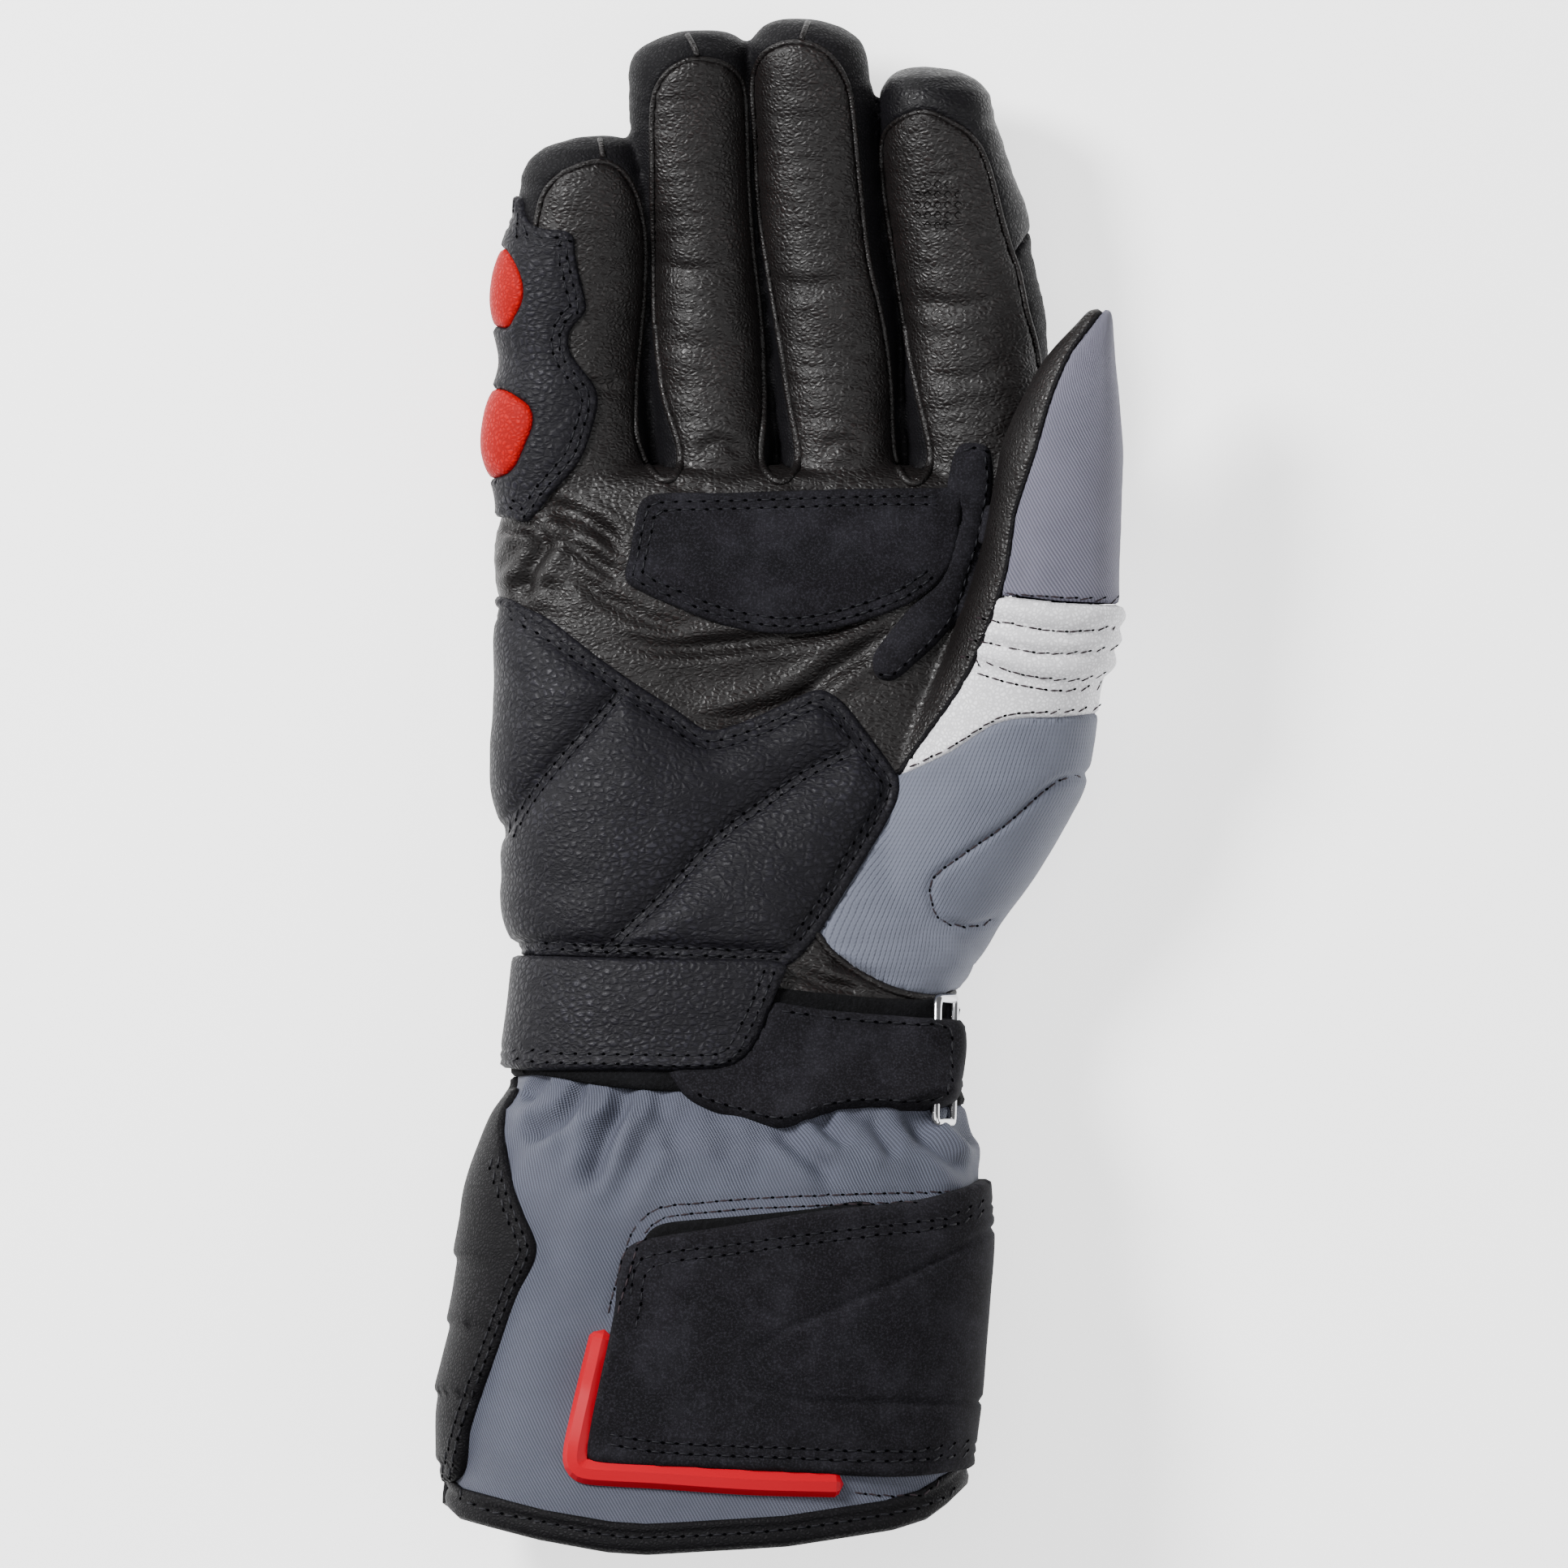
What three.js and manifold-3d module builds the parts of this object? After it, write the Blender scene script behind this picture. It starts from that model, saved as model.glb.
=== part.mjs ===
// A right-hand motorcycle gauntlet that lies on its back with the palm up.
// Millimetres. +X runs towards the thumb, +Y towards the fingertips, +Z up out of the palm.
// The origin is on the surface the glove lies on, under the middle of the hand.
import * as THREE from "three";
import { mergeVertices } from "three/addons/utils/BufferGeometryUtils.js";
import Module from "manifold-3d";

const wasm = await Module();
wasm.setup();

// Sizes of the hand
const PALM_WIDTH = 108;
const PALM_LENGTH = 120;
const PALM_DEPTH = 38;
const WRIST_WIDTH = 87;
const WRIST_DEPTH = 44;
const PALM_HOLLOW = 4;
const LITTLE = { length: 70, width: 28, depth: 22 };
const RING = { length: 92, width: 23.6, depth: 23 };
const MIDDLE = { length: 94, width: 26.2, depth: 24 };
const INDEX = { length: 84, width: 30.4, depth: 24.5 };
const FINGER_CURL = 5.5;
const TIP_SEAM_SETBACK = 5;
const KNUCKLE_SETBACK = 4;
const THUMB_LENGTH = 142;
const THUMB_WIDTH = 28;
const THUMB_DEPTH = 26;

// Sizes of the cuff
const CUFF_LENGTH = 100;
const CUFF_WIDTH = 107;
const CUFF_DEPTH = 61;
const HEM_BINDING_HEIGHT = 4.5;

// Thicknesses and clearances
const LEATHER_WALL = 2.4;
const TEXTILE_WALL = 2.4;
const PATCH_THICKNESS = 1.3;
const PAD_THICKNESS = 2.6;
const STRAP_THICKNESS = 2;
const LOOP_BAND_THICKNESS = 1.2;
const FLAP_THICKNESS = 1.8;
const GUARD_RIB_THICKNESS = 1.2;
const RIB_HEIGHT = 1.8;
const INSERT_HEIGHT = 2.4;
const TRIM_HEIGHT = 3;
const TRIM_WIDTH = 4;
const BINDING_THICKNESS = 1.2;
const RING_WIRE = 2;
const RING_INNER_ANGLE = 34;
const RING_OUTER_ANGLE = 16;
const RING_LIFT = 0.5;
const RING_OVERHANG = 2.6;
const TAB_LENGTH = 12;
const GAP = 0.3;

// Fineness of the facets
const FINGER_SIDES = 10;
const THUMB_SIDES = 12;
const TRUNK_SIDES = 24;
const LINING_SIDES_SHARE = 0.6;
const DOME_RINGS = 3;

const HALF_PALM = PALM_WIDTH / 2;
const WRIST_Y = -0.475 * PALM_LENGTH;
const CROTCH_Y = WRIST_Y + PALM_LENGTH;
const SIDE_SEAM_Z = 0.53 * PALM_DEPTH;
const SKY = PALM_DEPTH + CUFF_DEPTH + THUMB_DEPTH;
const CUFF_FLOOR = STRAP_THICKNESS + GAP;
const BELOW = -STRAP_THICKNESS;
const GUARD_BACK_Z = 0.08 * PALM_DEPTH;
const INSERT_BACK_Z = 0.24 * PALM_DEPTH;

// Interpolates one column of a table of rows, by the rows' "at" column.
function column(rows, name, at) {
  const last = rows.length - 1;
  if (at <= rows[0].at) return rows[0][name];
  if (at >= rows[last].at) return rows[last][name];
  const k = rows.findIndex((row) => row.at >= at);
  const share = (at - rows[k - 1].at) / (rows[k].at - rows[k - 1].at);
  return rows[k - 1][name] * (1 - share) + rows[k][name] * share;
}

// Ring sections: middle x and z, half width and half depth, all in millimetres, with the roundness of the corners.
// Palm rows run from the wrist (0) to the finger roots (1); x, wide are shares of the half palm, z, deep of its depth.
const PALM_TABLE = [
  { at: 0.18, x: -0.088, wide: 0.845, z: 0.63, deep: 0.56, round: 2.4, hollow: 0 },
  { at: 0.31, x: -0.09, wide: 0.89, z: 0.55, deep: 0.57, round: 2.5, hollow: 0.2 },
  { at: 0.475, x: -0.09, wide: 0.93, z: 0.52, deep: 0.56, round: 2.6, hollow: 0.7 },
  { at: 0.64, x: -0.09, wide: 0.93, z: 0.495, deep: 0.53, round: 2.6, hollow: 1 },
  { at: 0.81, x: -0.09, wide: 0.98, z: 0.485, deep: 0.47, round: 2.6, hollow: 0.5 },
  { at: 0.93, x: -0.035, wide: 1.015, z: 0.475, deep: 0.42, round: 2.6, hollow: 0 },
  { at: 1.0, x: -0.005, wide: 1.02, z: 0.475, deep: 0.36, round: 2.6, hollow: 0 },
  { at: 1.02, x: 0.0, wide: 0.99, z: 0.475, deep: 0.25, round: 2.6, hollow: 0 },
];
const WRIST_ROWS = [
  { at: 0, x: -0.187, wide: 1, z: 0.655, deep: 1 },
  { at: 0.1, x: -0.156, wide: 0.99, z: 0.645, deep: 0.985 },
];

function palmRows() {
  const wrist = WRIST_ROWS.map((row) => ({
    y: WRIST_Y + row.at * PALM_LENGTH,
    x: row.x * HALF_PALM,
    wide: (row.wide * WRIST_WIDTH) / 2,
    z: row.z * PALM_DEPTH,
    deep: (row.deep * WRIST_DEPTH) / 2,
    round: 2.3,
    hollow: 0,
  }));
  const palm = PALM_TABLE.map((row) => ({
    y: WRIST_Y + row.at * PALM_LENGTH,
    x: row.x * HALF_PALM,
    wide: row.wide * HALF_PALM,
    z: row.z * PALM_DEPTH,
    deep: row.deep * PALM_DEPTH,
    round: row.round,
    hollow: row.hollow * PALM_HOLLOW,
  }));
  return [...wrist, ...palm];
}

// Finger rows run from the root (0) to where the tip's dome starts; side and wide are shares of the finger's width,
// lift a share of the curl. Root is a share of the half palm, dome a share of the finger's width.
const FINGERS = {
  little: {
    ...LITTLE, root: -0.8, dome: 0.44, top: 0.1,
    rows: [
      { at: -0.4, side: 0.03, wide: 0.46, lift: 0.1 },
      { at: 0.0, side: 0.0, wide: 0.515, lift: 0 },
      { at: 0.22, side: -0.01, wide: 0.515, lift: 0 },
      { at: 0.46, side: 0.025, wide: 0.48, lift: 0.2 },
      { at: 0.69, side: 0.045, wide: 0.475, lift: 0.5 },
    ],
  },
  ring: {
    ...RING, root: -0.275, dome: 0.4, top: -0.11,
    rows: [
      { at: -0.3, side: 0.04, wide: 0.44, lift: 0.1 },
      { at: 0.17, side: 0.0, wide: 0.485, lift: 0 },
      { at: 0.35, side: -0.05, wide: 0.48, lift: 0 },
      { at: 0.53, side: -0.08, wide: 0.435, lift: 0.2 },
      { at: 0.84, side: -0.12, wide: 0.445, lift: 0.7 },
    ],
  },
  middle: {
    ...MIDDLE, root: 0.2, dome: 0.42, top: -0.12,
    rows: [
      { at: -0.3, side: 0, wide: 0.44, lift: 0.1 },
      { at: 0.16, side: -0.005, wide: 0.47, lift: 0 },
      { at: 0.34, side: -0.04, wide: 0.49, lift: 0 },
      { at: 0.52, side: -0.115, wide: 0.48, lift: 0.2 },
      { at: 0.84, side: -0.185, wide: 0.445, lift: 0.7 },
    ],
  },
  index: {
    ...INDEX, root: 0.735, dome: 0.44, top: -0.27,
    rows: [
      { at: -0.35, side: -0.13, wide: 0.35, lift: 0.1 },
      { at: 0.0, side: 0, wide: 0.48, lift: 0 },
      { at: 0.18, side: -0.005, wide: 0.492, lift: 0 },
      { at: 0.38, side: -0.02, wide: 0.485, lift: 0.05 },
      { at: 0.58, side: -0.105, wide: 0.475, lift: 0.35 },
      { at: 0.73, side: -0.18, wide: 0.455, lift: 0.6 },
    ],
  },
};
const FINGER_Z = 0.47 * PALM_DEPTH;

function fingerRows(finger, grow) {
  const along = (at) => CROTCH_Y + at * finger.length;
  const rows = finger.rows.map((row) => ({
    y: along(row.at),
    x: finger.root * HALF_PALM + row.side * finger.width,
    wide: row.wide * finger.width,
    z: FINGER_Z + row.lift * FINGER_CURL,
    deep: finger.depth / 2,
    round: 2.2,
    hollow: 0,
  }));
  const shoulder = finger.length - finger.dome * finger.width;
  const last = rows[rows.length - 1];
  const top = finger.root * HALF_PALM + finger.top * finger.width;
  for (let k = 0; k <= DOME_RINGS; k++) {
    const angle = (k / DOME_RINGS) * 0.47 * Math.PI;
    rows.push({
      y: CROTCH_Y + shoulder + (finger.dome * finger.width + grow) * Math.sin(angle),
      x: last.x + (top - last.x) * (0.4 + (0.6 * k) / DOME_RINGS),
      wide: (last.wide + grow) * Math.cos(angle) ** 0.75 - grow,
      z: FINGER_Z + FINGER_CURL * (0.85 + (0.15 * k) / DOME_RINGS),
      deep: (finger.depth / 2 + grow) * Math.cos(angle) ** 0.75 - grow,
      round: 2.2,
      hollow: 0,
    });
  }
  return rows;
}

// Thumb rows run from the heel (0) to the tip (1); x is a share of the half palm, wide and deep of the thumb's
// half width and half depth, z of the palm's depth.
const THUMB_TABLE = [
  { at: 0.0, x: 0.2, wide: 0.6, z: 0.55, deep: 0.9 },
  { at: 0.12, x: 0.47, wide: 1.29, z: 0.56, deep: 1.35 },
  { at: 0.21, x: 0.64, wide: 1.4, z: 0.58, deep: 1.48 },
  { at: 0.305, x: 0.8, wide: 1.36, z: 0.63, deep: 1.46 },
  { at: 0.4, x: 0.895, wide: 1.15, z: 0.71, deep: 1.3 },
  { at: 0.493, x: 0.965, wide: 1.08, z: 0.79, deep: 1.17 },
  { at: 0.587, x: 1.015, wide: 1.02, z: 0.868, deep: 1.08 },
  { at: 0.681, x: 1.046, wide: 0.979, z: 0.92, deep: 1.03 },
  { at: 0.787, x: 1.074, wide: 0.9, z: 0.974, deep: 0.95 },
  { at: 0.857, x: 1.098, wide: 0.786, z: 1.013, deep: 0.85 },
  { at: 0.927, x: 1.139, wide: 0.564, z: 1.05, deep: 0.66 },
  { at: 0.99, x: 1.19, wide: 0.2, z: 1.06, deep: 0.28 },
  { at: 1.0, x: 1.195, wide: 0.08, z: 1.06, deep: 0.1 },
];
const THUMB_BASE_Y = WRIST_Y + 0.1 * PALM_LENGTH;

function thumbRows(grow) {
  return THUMB_TABLE.map((row) => ({
    y: THUMB_BASE_Y + row.at * THUMB_LENGTH + grow * row.at ** 8,
    x: row.x * HALF_PALM,
    wide: Math.max((row.wide * THUMB_WIDTH) / 2, GAP - grow),
    z: row.z * PALM_DEPTH,
    deep: Math.max((row.deep * THUMB_DEPTH) / 2, GAP - grow),
    round: 2.1,
    hollow: 0,
  }));
}

// The sleeve runs from inside the wrist (-0.16) over the seam (0) down to the hem (1) and past it.
// wide and deep are shares of the cuff's half width and half depth, x a share of the cuff's half width.
const SLEEVE_TABLE = [
  { at: 0.03, x: -0.176, wide: 0.813, z: 0.415, deep: 0.73 },
  { at: 0.117, x: -0.187, wide: 0.886, z: 0.45, deep: 0.82 },
  { at: 0.2, x: -0.185, wide: 0.953, z: 0.48, deep: 0.9 },
  { at: 0.3, x: -0.21, wide: 0.975, z: 0.495, deep: 0.95 },
  { at: 0.55, x: -0.243, wide: 0.996, z: 0.51, deep: 0.985 },
  { at: 0.82, x: -0.275, wide: 1.005, z: 0.52, deep: 1.0 },
  { at: 1.06, x: -0.28, wide: 0.97, z: 0.52, deep: 0.99 },
];

function sleeveRows() {
  const hand = palmRows()
    .slice(0, 3)
    .reverse()
    .map((row) => ({ ...row, hollow: 0 }));
  const cuff = SLEEVE_TABLE.map((row) => ({
    y: WRIST_Y - row.at * CUFF_LENGTH,
    x: (row.x * CUFF_WIDTH) / 2,
    wide: (row.wide * CUFF_WIDTH) / 2,
    z: row.z * CUFF_DEPTH,
    deep: (row.deep * CUFF_DEPTH) / 2,
    round: 2.3,
    hollow: 0,
  }));
  return [...hand, ...cuff].reverse();
}

// A closed loft through rows of rings, made by shaping a unit cylinder. It grows or shrinks by grow all round,
// and it is flattened where it rests: nothing reaches below the floor, less what it grows.
function loft(rows, sides, grow, floor = 0) {
  const plain = new THREE.CylinderGeometry(1, 1, rows.length - 1, sides, rows.length - 1, false);
  plain.deleteAttribute("normal");
  plain.deleteAttribute("uv");
  const shape = mergeVertices(plain);
  const spots = shape.getAttribute("position");
  for (let i = 0; i < spots.count; i++) {
    const row = rows[Math.round(spots.getY(i) + (rows.length - 1) / 2)];
    const cos = spots.getX(i);
    const sin = spots.getZ(i);
    const power = 2 / row.round;
    const across = Math.sign(cos) * Math.abs(cos) ** power;
    const up = Math.sign(sin) * Math.abs(sin) ** power;
    const inPalm = Math.max(0, up) * Math.max(0, 1 - across * across) ** 2;
    const x = row.x + across * (row.wide + grow);
    const z = row.z + up * (row.deep + grow) - row.hollow * inPalm;
    spots.setXYZ(i, x, row.y, Math.max(z, floor - grow));
  }
  return solidFrom(shape);
}

function enclosed(spots, index) {
  const [a, b, c] = [new THREE.Vector3(), new THREE.Vector3(), new THREE.Vector3()];
  let six = 0;
  for (let i = 0; i < index.length; i += 3) {
    a.fromArray(spots, index[i] * 3);
    b.fromArray(spots, index[i + 1] * 3);
    c.fromArray(spots, index[i + 2] * 3);
    six += a.dot(b.cross(c));
  }
  return six / 6;
}

function solidFrom(geometry) {
  const plain = geometry.clone();
  plain.deleteAttribute("normal");
  plain.deleteAttribute("uv");
  const merged = mergeVertices(plain, 1e-4);
  const vertProperties = merged.getAttribute("position").array;
  const triVerts = new Uint32Array(merged.index.array);
  if (enclosed(vertProperties, triVerts) < 0) {
    for (let i = 0; i < triVerts.length; i += 3) {
      [triVerts[i + 1], triVerts[i + 2]] = [triVerts[i + 2], triVerts[i + 1]];
    }
  }
  return new wasm.Manifold(new wasm.Mesh({ numProp: 3, vertProperties, triVerts }));
}

function joined(solids) {
  return solids.reduce((sum, solid) => sum.add(solid));
}

// A lining, which is a skin shrunk by the wall, has fewer sides than the outside.
function fineness(sides, grow) {
  return grow < 0 ? Math.round((sides * LINING_SIDES_SHARE) / 2) * 2 : sides;
}

// The hand's skin grown by grow: palm, fingers and thumb in one. An opened one runs on below the wrist.
const skins = new Map();
function hand(grow, opened = false) {
  const key = `${grow} ${opened}`;
  if (!skins.has(key)) {
    const palm = palmRows();
    if (opened) palm[0].y -= LEATHER_WALL * 4;
    const parts = [loft(palm, fineness(TRUNK_SIDES, grow), grow)];
    for (const finger of Object.values(FINGERS)) {
      parts.push(loft(fingerRows(finger, grow), fineness(FINGER_SIDES, grow), grow));
    }
    parts.push(loft(thumbRows(grow), fineness(THUMB_SIDES, grow), grow));
    skins.set(key, joined(parts));
  }
  return skins.get(key);
}

function sleeve(grow) {
  const key = `sleeve ${grow}`;
  if (!skins.has(key)) skins.set(key, loft(sleeveRows(), fineness(TRUNK_SIDES, grow), grow, CUFF_FLOOR));
  return skins.get(key);
}

const layer = (skin, low, high) => skin(high).subtract(skin(low));

// Plan views. Each turns a table's shares into a place in millimetres.
const palmSpot = ([u, v]) => [u * HALF_PALM, WRIST_Y + v * PALM_LENGTH];
const cuffSpot = ([u, v]) => [(u * CUFF_WIDTH) / 2, WRIST_Y - v * CUFF_LENGTH];
function thumbSpot([u, v]) {
  const middle = column(THUMB_TABLE, "x", v) * HALF_PALM;
  const wide = (column(THUMB_TABLE, "wide", v) * THUMB_WIDTH) / 2;
  return [middle + u * wide, THUMB_BASE_Y + v * THUMB_LENGTH];
}
function fingerSpot(finger) {
  return ([u, v]) => [
    finger.root * HALF_PALM + column(finger.rows, "side", v) * finger.width + u * finger.width,
    CROTCH_Y + v * finger.length,
  ];
}

// An upright prism over a plan outline
function prism(points, { low = SIDE_SEAM_Z, high = SKY } = {}) {
  const shape = new THREE.Shape(points.map(([x, y]) => new THREE.Vector2(x, y)));
  const block = new THREE.ExtrudeGeometry(shape, { depth: high - low, bevelEnabled: false });
  block.translate(0, 0, low);
  return solidFrom(block);
}

// An outline moved outwards by a distance, or inwards by a negative one. The points run anticlockwise.
function widened(points, distance) {
  const spin = Math.sign(THREE.ShapeUtils.area(points.map(([x, y]) => new THREE.Vector2(x, y))));
  return points.map(([x, y], i) => {
    const [ax, ay] = points[(i + points.length - 1) % points.length];
    const [bx, by] = points[(i + 1) % points.length];
    const before = new THREE.Vector2(y - ay, ax - x).normalize();
    const after = new THREE.Vector2(by - y, x - bx).normalize();
    const out = before.clone().add(after).normalize();
    const reach = (spin * distance) / Math.max(0.5, out.dot(before));
    return [x + out.x * reach, y + out.y * reach];
  });
}

// Outlines as shares, all anticlockwise
const PALM_PATCH = [
  [-0.59, 0.885], [-0.60, 0.80], [-0.575, 0.795], [-0.41, 0.768], [-0.21, 0.742], [0.03, 0.733],
  [0.21, 0.744], [0.40, 0.78], [0.545, 0.84], [0.60, 0.9], [0.63, 0.965], [0.60, 0.983], [-0.48, 0.972],
  [-0.545, 0.957],
];
const CROTCH_PATCH = [
  [0.336, 0.665], [0.405, 0.65], [0.50, 0.683], [0.64, 0.735], [0.665, 0.785], [0.70, 0.832],
  [0.76, 0.89], [0.798, 0.953], [0.798, 1.012], [0.775, 1.055], [0.705, 1.06], [0.655, 1.03], [0.61, 0.975],
  [0.672, 0.955], [0.633, 0.89], [0.61, 0.842], [0.48, 0.794], [0.40, 0.73], [0.336, 0.70],
];
const HEEL_PAD = [
  [-1.25, 0.187], [-0.07, 0.184], [0.012, 0.182], [0.105, 0.225], [0.188, 0.262], [0.342, 0.362],
  [0.432, 0.458], [0.426, 0.485], [0.305, 0.56], [0.207, 0.623], [0.154, 0.639], [0.059, 0.629],
  [-0.046, 0.602], [-0.167, 0.58], [-0.296, 0.568], [-0.4, 0.59], [-0.52, 0.638], [-0.66, 0.687],
  [-0.815, 0.728], [-0.98, 0.783], [-1.25, 0.783],
];
const LITTLE_GUARD = [
  [-0.9, -0.2], [-0.33, -0.19], [-0.22, -0.14], [-0.09, -0.055], [0.14, 0.04], [0.21, 0.135],
  [0.20, 0.235], [0.055, 0.32], [0.02, 0.37], [0.12, 0.44], [0.125, 0.47], [0.035, 0.66], [0.0, 0.69],
  [-0.24, 0.71], [-0.33, 0.735], [-0.37, 0.80], [-0.9, 0.80],
];
const UPPER_INSERT = [
  [-0.85, 0.395], [-0.49, 0.395], [-0.34, 0.485], [-0.36, 0.58], [-0.48, 0.64], [-0.85, 0.66],
];
const LOWER_INSERT = [
  [-0.85, -0.035], [-0.44, -0.035], [-0.33, 0.02], [-0.25, 0.10], [-0.28, 0.14], [-0.40, 0.195],
  [-0.52, 0.23], [-0.85, 0.23],
];
const CUFF_STRAP_FRONT = [
  [-0.755, 0.805], [-0.57, 0.833], [-0.10, 0.843], [0.25, 0.858], [1.2, 0.838], [1.2, 0.222], [0.86, 0.245],
  [0.675, 0.273], [0.25, 0.3], [-0.185, 0.336], [-0.475, 0.36], [-0.54, 0.381], [-0.6, 0.435],
  [-0.65, 0.545], [-0.7, 0.65],
];
const CUFF_STRAP_BACK = [[-0.15, 0.842], [1.2, 0.838], [1.2, 0.222], [-0.15, 0.222]];
const HOOK_PATCH = [
  [-0.7, 0.56], [-0.62, 0.4], [-0.5, 0.342], [-0.4, 0.312], [0.13, 0.288], [0.13, 0.4], [-0.3, 0.56],
];
const SIDE_GUARD_FRONT = [
  [-1.5, 0.04], [-1.04, 0.04], [-1.072, 0.107], [-1.062, 0.183], [-1.037, 0.247], [-0.988, 0.313],
  [-0.95, 0.368], [-0.955, 0.41], [-1.01, 0.49], [-1.09, 0.585], [-1.162, 0.678], [-1.227, 0.773],
  [-1.25, 0.845], [-1.5, 0.84],
];
const SIDE_GUARD_BACK = [[-1.5, 0.04], [-1.0, 0.04], [-0.8, 0.36], [-0.9, 0.845], [-1.5, 0.84]];
const WRIST_FLAP = [
  [-1.25, -0.01], [-0.95, -0.014], [-0.25, -0.018], [-0.2, 0.0], [-0.11, 0.08], [-0.02, 0.155],
  [-0.02, 0.175], [-1.25, 0.178],
];
const WRIST_STRAP = [
  [-0.415, 0.03], [-0.385, 0.005], [-0.315, -0.05], [-0.205, -0.074], [-0.07, -0.095], [0.012, -0.102],
  [0.08, -0.098], [0.148, -0.085], [0.29, -0.08], [0.66, -0.076], [0.9, -0.076], [0.9, 0.076],
  [0.66, 0.08], [-0.04, 0.106], [-0.3, 0.106],
];
const LOOP_BAND = [
  [-1.25, -0.004], [-0.95, -0.004], [-0.76, -0.025], [-0.4, -0.05], [-0.07, -0.07], [0.28, -0.085],
  [0.53, -0.085], [0.9, -0.085], [0.9, 0.085], [0.3, 0.1], [-1.25, 0.12],
];
const THUMB_SEAM = [
  [-0.15, 1.01], [-0.45, 0.955], [-0.47, 0.9], [-0.46, 0.84], [-0.58, 0.75],
  [-0.62, 0.68], [-0.74, 0.6], [-0.76, 0.555], [-0.77, 0.5], [-0.69, 0.42],
];
const THUMB_FOOT = [
  [0.43, 0.49], [0.41, 0.43], [0.3, 0.345], [0.165, 0.245], [0.128, 0.216], [0.175, 0.188], [0.285, 0.151],
  [0.424, 0.125], [0.588, 0.112], [0.693, 0.125], [1.8, 0.125],
];
const HEM = [
  [-1.5, 0.885], [-1.279, 0.905], [-1.2, 0.935], [-0.927, 0.969], [-0.674, 0.996], [-0.525, 1.004],
  [0.008, 0.984], [0.494, 0.946], [0.62, 0.922], [0.75, 0.9], [1.5, 0.885],
];
const CUFF_TRIM = [
  [-0.67, 0.531], [-0.646, 0.549], [-0.7, 0.68], [-0.749, 0.8], [-0.731, 0.8225], [-0.114, 0.838],
  [0.251, 0.844], [0.213, 0.878], [-0.114, 0.874], [-0.802, 0.854], [-0.835, 0.841], [-0.84, 0.816],
  [-0.731, 0.589], [-0.7, 0.539],
];

const CAP_LINE = [
  [-0.49, 0.93], [-0.49, 1.2], [0.8, 1.2], [0.8, 0.565], [0.3, 0.53], [0.34, 0.75], [0.2, 0.9],
];
const RIB_ROWS = [
  [[[-1.5, 0.59], [-0.8, 0.585], [0.2, 0.575], [1.6, 0.577]], [[1.6, 0.562], [0.2, 0.56], [-0.8, 0.568], [-1.5, 0.575]]],
  [[[-1.5, 0.56], [-0.8, 0.555], [0.2, 0.545], [1.6, 0.552]], [[1.6, 0.53], [0.2, 0.525], [-0.8, 0.535], [-1.5, 0.545]]],
  [[[-1.5, 0.53], [-0.8, 0.522], [0.2, 0.51], [1.6, 0.518]], [[1.6, 0.496], [0.2, 0.488], [-0.8, 0.505], [-1.5, 0.515]]],
];
const WRIST_STRAP_TOP = 0.076;
const WRIST_STRAP_FOOT = -0.076;
const GUARD_STEPS = [[0.41, 0.47], [0.5, 0.65], [0.685, 0.77]];
const GUARD_SLANT = 0.02;

// Pieces, in the order of the work: what is sewn into the hand first, then what is sewn onto it
const LEATHER_BLACK = new THREE.MeshStandardMaterial({ color: "#2b292c", roughness: 0.55, metalness: 0 });
const LEATHER_GRAINED = new THREE.MeshStandardMaterial({ color: "#2a2a30", roughness: 0.65, metalness: 0 });
const LEATHER_RED = new THREE.MeshStandardMaterial({ color: "#e4312c", roughness: 0.5, metalness: 0 });
const LEATHER_WHITE = new THREE.MeshStandardMaterial({ color: "#e6e5ea", roughness: 0.6, metalness: 0 });
const SUEDE_BLACK = new THREE.MeshStandardMaterial({ color: "#1d1c21", roughness: 0.95, metalness: 0 });
const TWILL_GREY = new THREE.MeshStandardMaterial({ color: "#787988", roughness: 0.85, metalness: 0 });
const NEOPRENE_GREY = new THREE.MeshStandardMaterial({ color: "#7e8592", roughness: 0.8, metalness: 0 });
const LOOP_BLACK = new THREE.MeshStandardMaterial({ color: "#131316", roughness: 1, metalness: 0 });
const RUBBER_RED = new THREE.MeshStandardMaterial({ color: "#dd2f2f", roughness: 0.45, metalness: 0 });
const STEEL = new THREE.MeshStandardMaterial({ color: "#c9c9cc", roughness: 0.15, metalness: 1 });

// Cuts can leave crumbs beside a piece, so only its largest connected body is kept.
function largestBody(spots, index) {
  const owner = Array.from({ length: spots.length / 3 }, (_, i) => i);
  const find = (i) => {
    while (owner[i] !== i) {
      owner[i] = owner[owner[i]];
      i = owner[i];
    }
    return i;
  };
  for (let i = 0; i < index.length; i += 3) {
    owner[find(index[i])] = find(index[i + 1]);
    owner[find(index[i + 1])] = find(index[i + 2]);
  }
  const bodies = new Map();
  for (let i = 0; i < index.length; i += 3) {
    const body = find(index[i]);
    if (!bodies.has(body)) bodies.set(body, []);
    bodies.get(body).push(index[i], index[i + 1], index[i + 2]);
  }
  const sized = [...bodies.values()].map((faces) => ({ faces, size: enclosed(spots, faces) }));
  return sized.sort((a, b) => b.size - a.size)[0].faces;
}

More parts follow.
